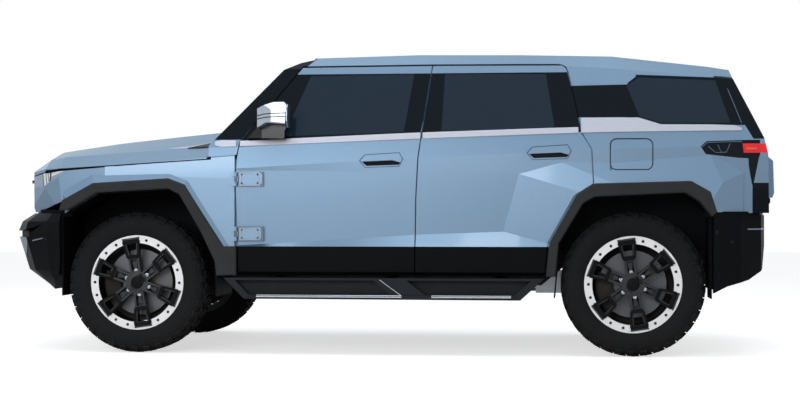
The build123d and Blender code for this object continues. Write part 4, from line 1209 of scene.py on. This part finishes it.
hingePlates = {
    "Top": ((0.863, 1.098), (0.740, 1.101), (0.722, 1.086), (0.722, 1.033), (0.740, 1.016), (0.863, 1.016)),
    "Low": ((0.863, 0.763), (0.740, 0.766), (0.726, 0.753), (0.726, 0.697), (0.743, 0.687), (0.863, 0.686)),
}
hingeFace = {
    "y": 0.966, "middleX": 0.7925, "thick": 0.004, "window": 0.78, "panel": 0.0022,
    "bolt": 0.0065, "boltX": (0.846, 0.748), "boltInset": 0.016, "boltTall": 0.0055,
}
for hand, tag, side in hands:
    for name, outline in hingePlates.items():
        label = name + tag
        y = hingeFace["y"]
        heights = [z for _, z in outline]
        middle = Vector((hingeFace["middleX"], sum(heights) / len(heights)))
        inner = [tuple(middle + (Vector(point) - middle) * hingeFace["window"]) for point in outline]
        columns = [[(x, side * y, z) for x, z in pair] for pair in zip(outline, inner)]
        thick = (0, side * hingeFace["thick"], 0)
        ring = sheetPiece("hingeFrame" + label, columns + columns[:1], thick, 0.0008)
        place(ring, f"door_front_{hand}", "skid")
        panel = prismPiece("hingePanel" + label, inner, "Y", side * (y + 0.0005), side * hingeFace["panel"], 0.0005)
        place(panel, f"door_front_{hand}", "paint")
        bolts = []
        for x in hingeFace["boltX"]:
            for z in (min(heights) + hingeFace["boltInset"], max(heights) - hingeFace["boltInset"]):
                end = (x, side * (y + hingeFace["boltTall"]), z)
                bolts.append(rodPiece("hingeBolt", (x, side * (y - 0.001), z), end, hingeFace["bolt"], 12, 0.0012))
        place(joinPieces(bolts, "hingeBolts" + label), f"door_front_{hand}", "iron")
print("hinges")


# Side steps: bright strips on the tread and on the nose


steps = {
    "x": ((0.748, -0.130), (-0.308, -0.783)),
    # y low, y high, z low, z high, bevel
    "tread": (0.952, 1.020, 0.3555, 0.3605, 0.0015), "nose": (1.021, 1.0245, 0.3465, 0.3530, 0.0012),
}
for hand, tag, side in hands:
    strips = []
    for start, end in steps["x"]:
        for label in ("tread", "nose"):
            inside, outside, low, high, bevel = steps[label]
            corners = (end, side * inside, low), (start, side * outside, high)
            strips.append(boxPiece(label + "Strip", *corners, bevel, 1))
    place(joinPieces(strips, "stepStrips" + tag), "body", "steel")
print("side steps")


# Seals between body and bumpers, bumper trims, sensors, arch skirts, a dark seam line on the rear pillar and
# painted shade below the bonnet's edge


def planRing(points, inset, depth):
    # closed (x, y) outline of a band that follows half a plan and its mirror image
    outer = [(x + inset * math.copysign(1, -x), max(y - inset, 0)) for x, y in points]
    inner = [(x + (inset + depth) * math.copysign(1, -x), max(y - inset - depth, 0)) for x, y in points]
    whole = outer + [(x, -y) for x, y in outer[-2::-1]]
    return whole + [(x, -y) for x, y in inner[:-1]] + inner[::-1]


bonnetEdgeShade = (  # x, z low, z high of a dark strip of painted shade just below the bonnet's edge
    (2.095, 1.0960, 1.1150), (2.000, 1.1090, 1.1245), (1.850, 1.1205, 1.1325), (1.710, 1.1310, 1.1400),
    (1.400, 1.1540, 1.1605), (1.080, 1.1760, 1.1805),
)
pillarLine = ((-2.034, 1.662), (-2.086, 1.520), (-2.136, 1.384))
bumperBands = {
    # half plan from the wheel round to the middle, inset, depth, z low, z high
    "bumperSeal": (
        ((-1.970, 0.978), (-2.130, 0.965), (-2.255, 0.850), (-2.300, 0.600), (-2.324, 0.0)),
        0.007, 0.045, 0.8300, 0.8605,
    ),
    "noseSeal": (
        ((1.985, 0.940), (2.040, 0.925), (2.150, 0.850), (2.225, 0.680), (2.262, 0.430), (2.275, 0.0)),
        0.014, 0.045, 0.8300, 0.8720,
    ),
    "slotFloor": (
        ((2.190, 0.893), (2.2146, 0.886), (2.3195, 0.7018), (2.354, 0.4818), (2.366, 0.0)),
        0.012, 0.030, 0.7035, 0.7415,
    ),
}
for name, (plan, inset, depth, low, high) in bumperBands.items():
    strip = prismPiece(name, planRing(plan, inset, depth), "Z", low, high - low, 0)
    place(strip, "body", "darkPlastic")

frontRows = (
    # the front bumper's plan at three heights: z, then (x, y) of each corner from the wheel round to the nose
    (0.500, (1.978, 0.955), (2.050, 0.935), (2.165, 0.860), (2.262, 0.680)),
    (0.733, (1.978, 0.978), (2.065, 0.965), (2.222, 0.890), (2.328, 0.705)),
    (0.800, (1.978, 0.976), (2.062, 0.962), (2.205, 0.885), (2.300, 0.700)),
)
bumperTrims = {
    # columns of (place along the corners, z) for the lower and the upper edge, how far it stands out
    "skidCorner": ((
        ((2.02, 0.676), (2.02, 0.701)), ((2.48, 0.622), (2.26, 0.701)), ((2.90, 0.580), (2.53, 0.701)),
    ), 0.004),
    "noseLine": ((
        ((1.20, 0.694), (1.20, 0.700)), ((1.50, 0.685), (1.50, 0.692)), ((1.74, 0.678), (1.74, 0.685)),
    ), 0.003),
}
rearLine = {
    "outer": ((-2.170, 0.9305), (-2.2570, 0.8515), (-2.3030, 0.6000)), "inset": 0.006,
    "low": 0.7530, "high": 0.7610, "bevel": 0.0008,
}
sensors = (
    # x, y, z, radius, outward direction
    (2.068, 0.962, 0.693, 0.010, (0.43, 0.90)), (-1.985, 0.9755, 0.738, 0.013, (0.08, 1.0)),
    (-2.075, 0.968, 0.682, 0.010, (-0.08, 1.0)),
)
sensorShape = {"sunk": -0.006, "proud": 0.002, "sides": 20, "bevel": 0.0012}
linerSkirt = ((-1.976, 0.620, 0.400), (-1.944, 0.905, 0.845))


def frontBumperAt(along, z):
    # (x, y) on the front bumper's side, with along counted in corners from the wheel
    for lower, upper in zip(frontRows, frontRows[1:]):
        if z <= upper[0]:
            break
    share = (z - lower[0]) / (upper[0] - lower[0])
    first = int(along)
    ends = [Vector(lower[1 + index]).lerp(Vector(upper[1 + index]), share) for index in (first, min(first + 1, 3))]
    return ends[0].lerp(ends[1], along - first)


for hand, tag, side in hands:
    for name, (stations, proud) in bumperTrims.items():
        columns = []
        for ends in stations:
            points = [(frontBumperAt(cornerPlace, z), z) for cornerPlace, z in ends]
            columns.append([(at.x - 0.001, side * (at.y - 0.001), z) for at, z in points])
        trim = sheetPiece(name + tag, columns, (proud * 0.5, side * proud, 0), 0.0008)
        place(trim, "body", "skid")
    outer = rearLine["outer"]
    inner = [(x + rearLine["inset"], y - rearLine["inset"]) for x, y in reversed(outer)]
    outline = [(x, side * y) for x, y in list(outer) + inner]
    tall = rearLine["high"] - rearLine["low"]
    line = prismPiece("rearLine" + tag, outline, "Z", rearLine["low"], tall, rearLine["bevel"])
    place(line, "body", "skid")
    eyes = []
    for x, y, z, radius, (outX, outY) in sensors:
        start, end = [
            (x + outX * reach, side * (y + outY * reach), z)
            for reach in (sensorShape["sunk"], sensorShape["proud"])
        ]
        eyes.append(rodPiece("sensor", start, end, radius, sensorShape["sides"], sensorShape["bevel"]))
    place(joinPieces(eyes, "sensors" + tag), "body", "gloss")
    corners = [(x, side * y, z) for x, y, z in linerSkirt]
    filler = boxPiece("linerSkirt" + tag, *corners, 0.004, 1)
    place(filler, "body", "darkPlastic")
    # painted shade: a dark strip on the fender where the bonnet's edge overhangs it
    paintedShade = skinPiece("bonnetEdgeShade" + tag, bands(bonnetEdgeShade), noseY, side, -0.002, 0.0032, 0.0006)
    place(paintedShade, "body", "darkPlastic")
    line = [[(x, z), (x - 0.005, z)] for x, z in pillarLine]
    pillar = skinPiece("pillarLine" + tag, line, cabinY, side, 0.0, 0.003, 0.0005)
    place(pillar, "body", "hinge")
print("seals and bumper trims")


# Tailgate: dark lower panel, bare plate recess and high brake lamp


tailParts = {
    # side outline (x, z), half width, slot, look
    "platePanel": (
        ((-2.290, 0.9440), (-2.352, 0.9440), (-2.352, 0.918), (-2.326, 0.874), (-2.290, 0.866)),
        0.470, "gloss_black", "darkPlastic",
    ),
    "plateRecess": (
        ((-2.366, 1.128), (-2.3705, 1.128), (-2.3735, 0.992), (-2.366, 0.992)),
        0.262, "gloss_black", "darkPlastic",
    ),
    "highLamp": (
        ((-2.0900, 1.6020), (-2.1240, 1.6020), (-2.1185, 1.6150), (-2.0900, 1.6150)),
        0.170, "lamp_red", "redLens",
    ),
}
for name, (outline, half, slot, look) in tailParts.items():
    panel = prismPiece(name, outline, "Y", -half, 2 * half, 0.003, 2)
    place(panel, "tailgate", look)
print("tailgate parts")


# Windscreen wipers and the bright edge of each step's bracket


wipers = {
    "foot": (1.058, 1.262), "slope": 0.9423, "outward": (0.728, 0.686),
    # blade from y, z to y, z, then the arm's pivot y, z
    "rows": (
        ((0.620, 1.296), (0.060, 1.322), (0.600, 1.276)), ((-0.020, 1.296), (-0.560, 1.318), (-0.040, 1.276)),
    ),
    # height over the glass at both ends, radius, sides, bevel
    "blade": (0.013, 0.013, 0.0055, 8, 0.001), "arm": (0.016, 0.021, 0.0065, 10, 0.001),
    "pivot": (-0.004, 0.026, 0.013, 16, 0.002),
}


def onScreen(y, z, proud):
    footX, footZ = wipers["foot"]
    outX, outZ = wipers["outward"]
    return (footX - (z - footZ) * wipers["slope"] + proud * outX, y, z + proud * outZ)


rods = []
for start, end, pivot in wipers["rows"]:
    middle = ((start[0] + end[0]) / 2, (start[1] + end[1]) / 2)
    for label, first, last in (("blade", start, end), ("arm", pivot, middle), ("pivot", pivot, pivot)):
        lift, lastLift, radius, sides, bevel = wipers[label]
        rods.append(rodPiece(label, onScreen(*first, lift), onScreen(*last, lastLift), radius, sides, bevel))
place(joinPieces(rods, "wipers"), "body", "bumperPlastic")
bracketEdge = ((0.000, 0.452), (0.005, 0.452), (-0.133, 0.352), (-0.139, 0.352))
for hand, tag, side in hands:
    edge = prismPiece("bracketEdge" + tag, bracketEdge, "Y", side * 1.0075, side * 0.003, 0.0005)
    place(edge, "body", "steel")
print("wipers and step brackets")


# Mirror glass


mirrorGlass = {
    "outline": (
        (0.998, 1.362), (0.998, 1.494), (1.016, 1.508), (1.080, 1.500), (1.106, 1.462), (1.106, 1.398),
        (1.078, 1.362),
    ),
    "x": 0.5455, "thick": 0.004, "bevel": 0.0015,
}
for hand, tag, side in hands:
    outline = [(side * y, z) for y, z in mirrorGlass["outline"]]
    x, thick, bevel = [mirrorGlass[key] for key in ("x", "thick", "bevel")]
    glass = prismPiece("mirrorGlass" + tag, outline, "X", x, thick, bevel)
    place(glass, f"door_front_{hand}", "chrome")
print("mirror glass")


# Seats: padded cushions, bolsters and headrests on moulded bases


padShape = {"bevel": 0.03, "share": 0.42, "segments": 3, "cuts": 3, "crown": 0.012, "pinch": 0.10}


def padPiece(name, size, crown=padShape["crown"]):
    # a block with rounded edges, crowned faces and sides that pull in between its corners
    piece = startPiece(name, bpy.ops.mesh.primitive_cube_add, size=1)
    editSteps(piece, lambda: bpy.ops.transform.resize(value=size))
    selectOnly(piece)
    bpy.ops.object.transform_apply(location=True, rotation=True, scale=True)
    bevelEdges(piece, min(padShape["bevel"], min(size) * padShape["share"]), padShape["segments"])
    editSteps(piece, lambda: bpy.ops.mesh.subdivide(number_cuts=padShape["cuts"]))
    for vertex in piece.data.vertices:
        share = [2 * value / length for value, length in zip(vertex.co, size)]
        for axis in range(3):
            others = [1 - share[other] ** 2 for other in range(3) if other != axis]
            vertex.co[axis] += share[axis] ** 3 * crown * max(others[0], 0) * max(others[1], 0)
        for axis in (0, 1):
            vertex.co[axis] -= share[axis] ** 3 * padShape["pinch"] * crown * (1 - share[1 - axis] ** 2)
    withModifier(piece, "SUBSURF", levels=1, render_levels=1)
    return piece


def turned(x, z, angle):
    return Matrix.Translation((x, 0, z)) @ Matrix.Rotation(math.radians(angle), 4, "Y")


frontSeat = {
    "middle": 0.38, "base": ((-0.110, 0.150, 0.5880), (0.340, 0.610, 0.790)),
    # pieces: name, x, z, tilt, then blocks of (y from the middle, thickness shift, size)
    "parts": (
        ("Cushion", 0.160, 0.868, -5.0, (
            (0.0, 0.0, (0.500, 0.290, 0.150)), (-0.200, 0.012, (0.490, 0.110, 0.165)),
            (0.200, 0.012, (0.490, 0.110, 0.165)),
        )),
        ("Back", -0.190, 1.165, -19.5, (
            (0.0, 0.0, (0.110, 0.290, 0.500)), (-0.198, 0.016, (0.130, 0.115, 0.470)),
            (0.198, 0.016, (0.130, 0.115, 0.470)),
        )),
        ("Headrest", -0.290, 1.492, -8.0, ((0.0, 0.0, (0.085, 0.250, 0.165)),)),
    ),
    # headrest posts: y from the headrest's middle, then both ends' x, z
    "posts": ((-0.06, 0.06), (-0.272, 1.38), (-0.284, 1.46)),
}
rearBench = {
    "base": ((-0.960, -0.600, 0.590), (-0.560, 0.600, 0.760)),
    "parts": (
        ("Cushion", -0.700, 0.850, -3.0, tuple((y, 0.0, (0.450, 0.410, 0.150)) for y in (-0.425, 0.0, 0.425))),
        ("Back", -1.020, 1.150, -22.0, tuple((y, 0.0, (0.120, 0.410, 0.480)) for y in (-0.425, 0.0, 0.425))),
    ),
}


def makeSeat(label, seat, middle, stands):
    for index, (name, x, z, tilt, blocks) in enumerate(seat["parts"]):
        pads = []
        for y, shift, size in blocks:
            pad = padPiece("pad", size)
            lift = (shift, 0, 0) if size[2] > size[0] else (0, 0, shift)
            across = Matrix.Translation((0, middle + y, 0))
            pad.data.transform(across @ turned(x, z, tilt) @ Matrix.Translation(lift))
            pads.append(pad)
        whole = joinPieces(pads, label + name)
        finishMesh(whole, 60)
        place(whole, "body", "leather", stands if index == 0 else ())


for label, middle in (("frontSeatLeft", frontSeat["middle"]), ("frontSeatRight", -frontSeat["middle"])):
    makeSeat(label, frontSeat, middle, ["front_seats"])
    shift = middle - frontSeat["middle"]
    corners = [(x, y + shift, z) for x, y, z in frontSeat["base"]]
    place(boxPiece(label + "Base", *corners, 0.02, 3), "body", "interior")
    offsets, (lowX, low), (highX, high) = frontSeat["posts"]
    posts = [rodPiece("post", (lowX, middle + y, low), (highX, middle + y, high), 0.006, 12) for y in offsets]
    place(joinPieces(posts, label + "Posts"), "body", "steel")
makeSeat("rearBench", rearBench, 0.0, ["rear_bench"])
place(boxPiece("rearBenchBase", *rearBench["base"], 0.02, 3), "body", "interior")
print("seats")
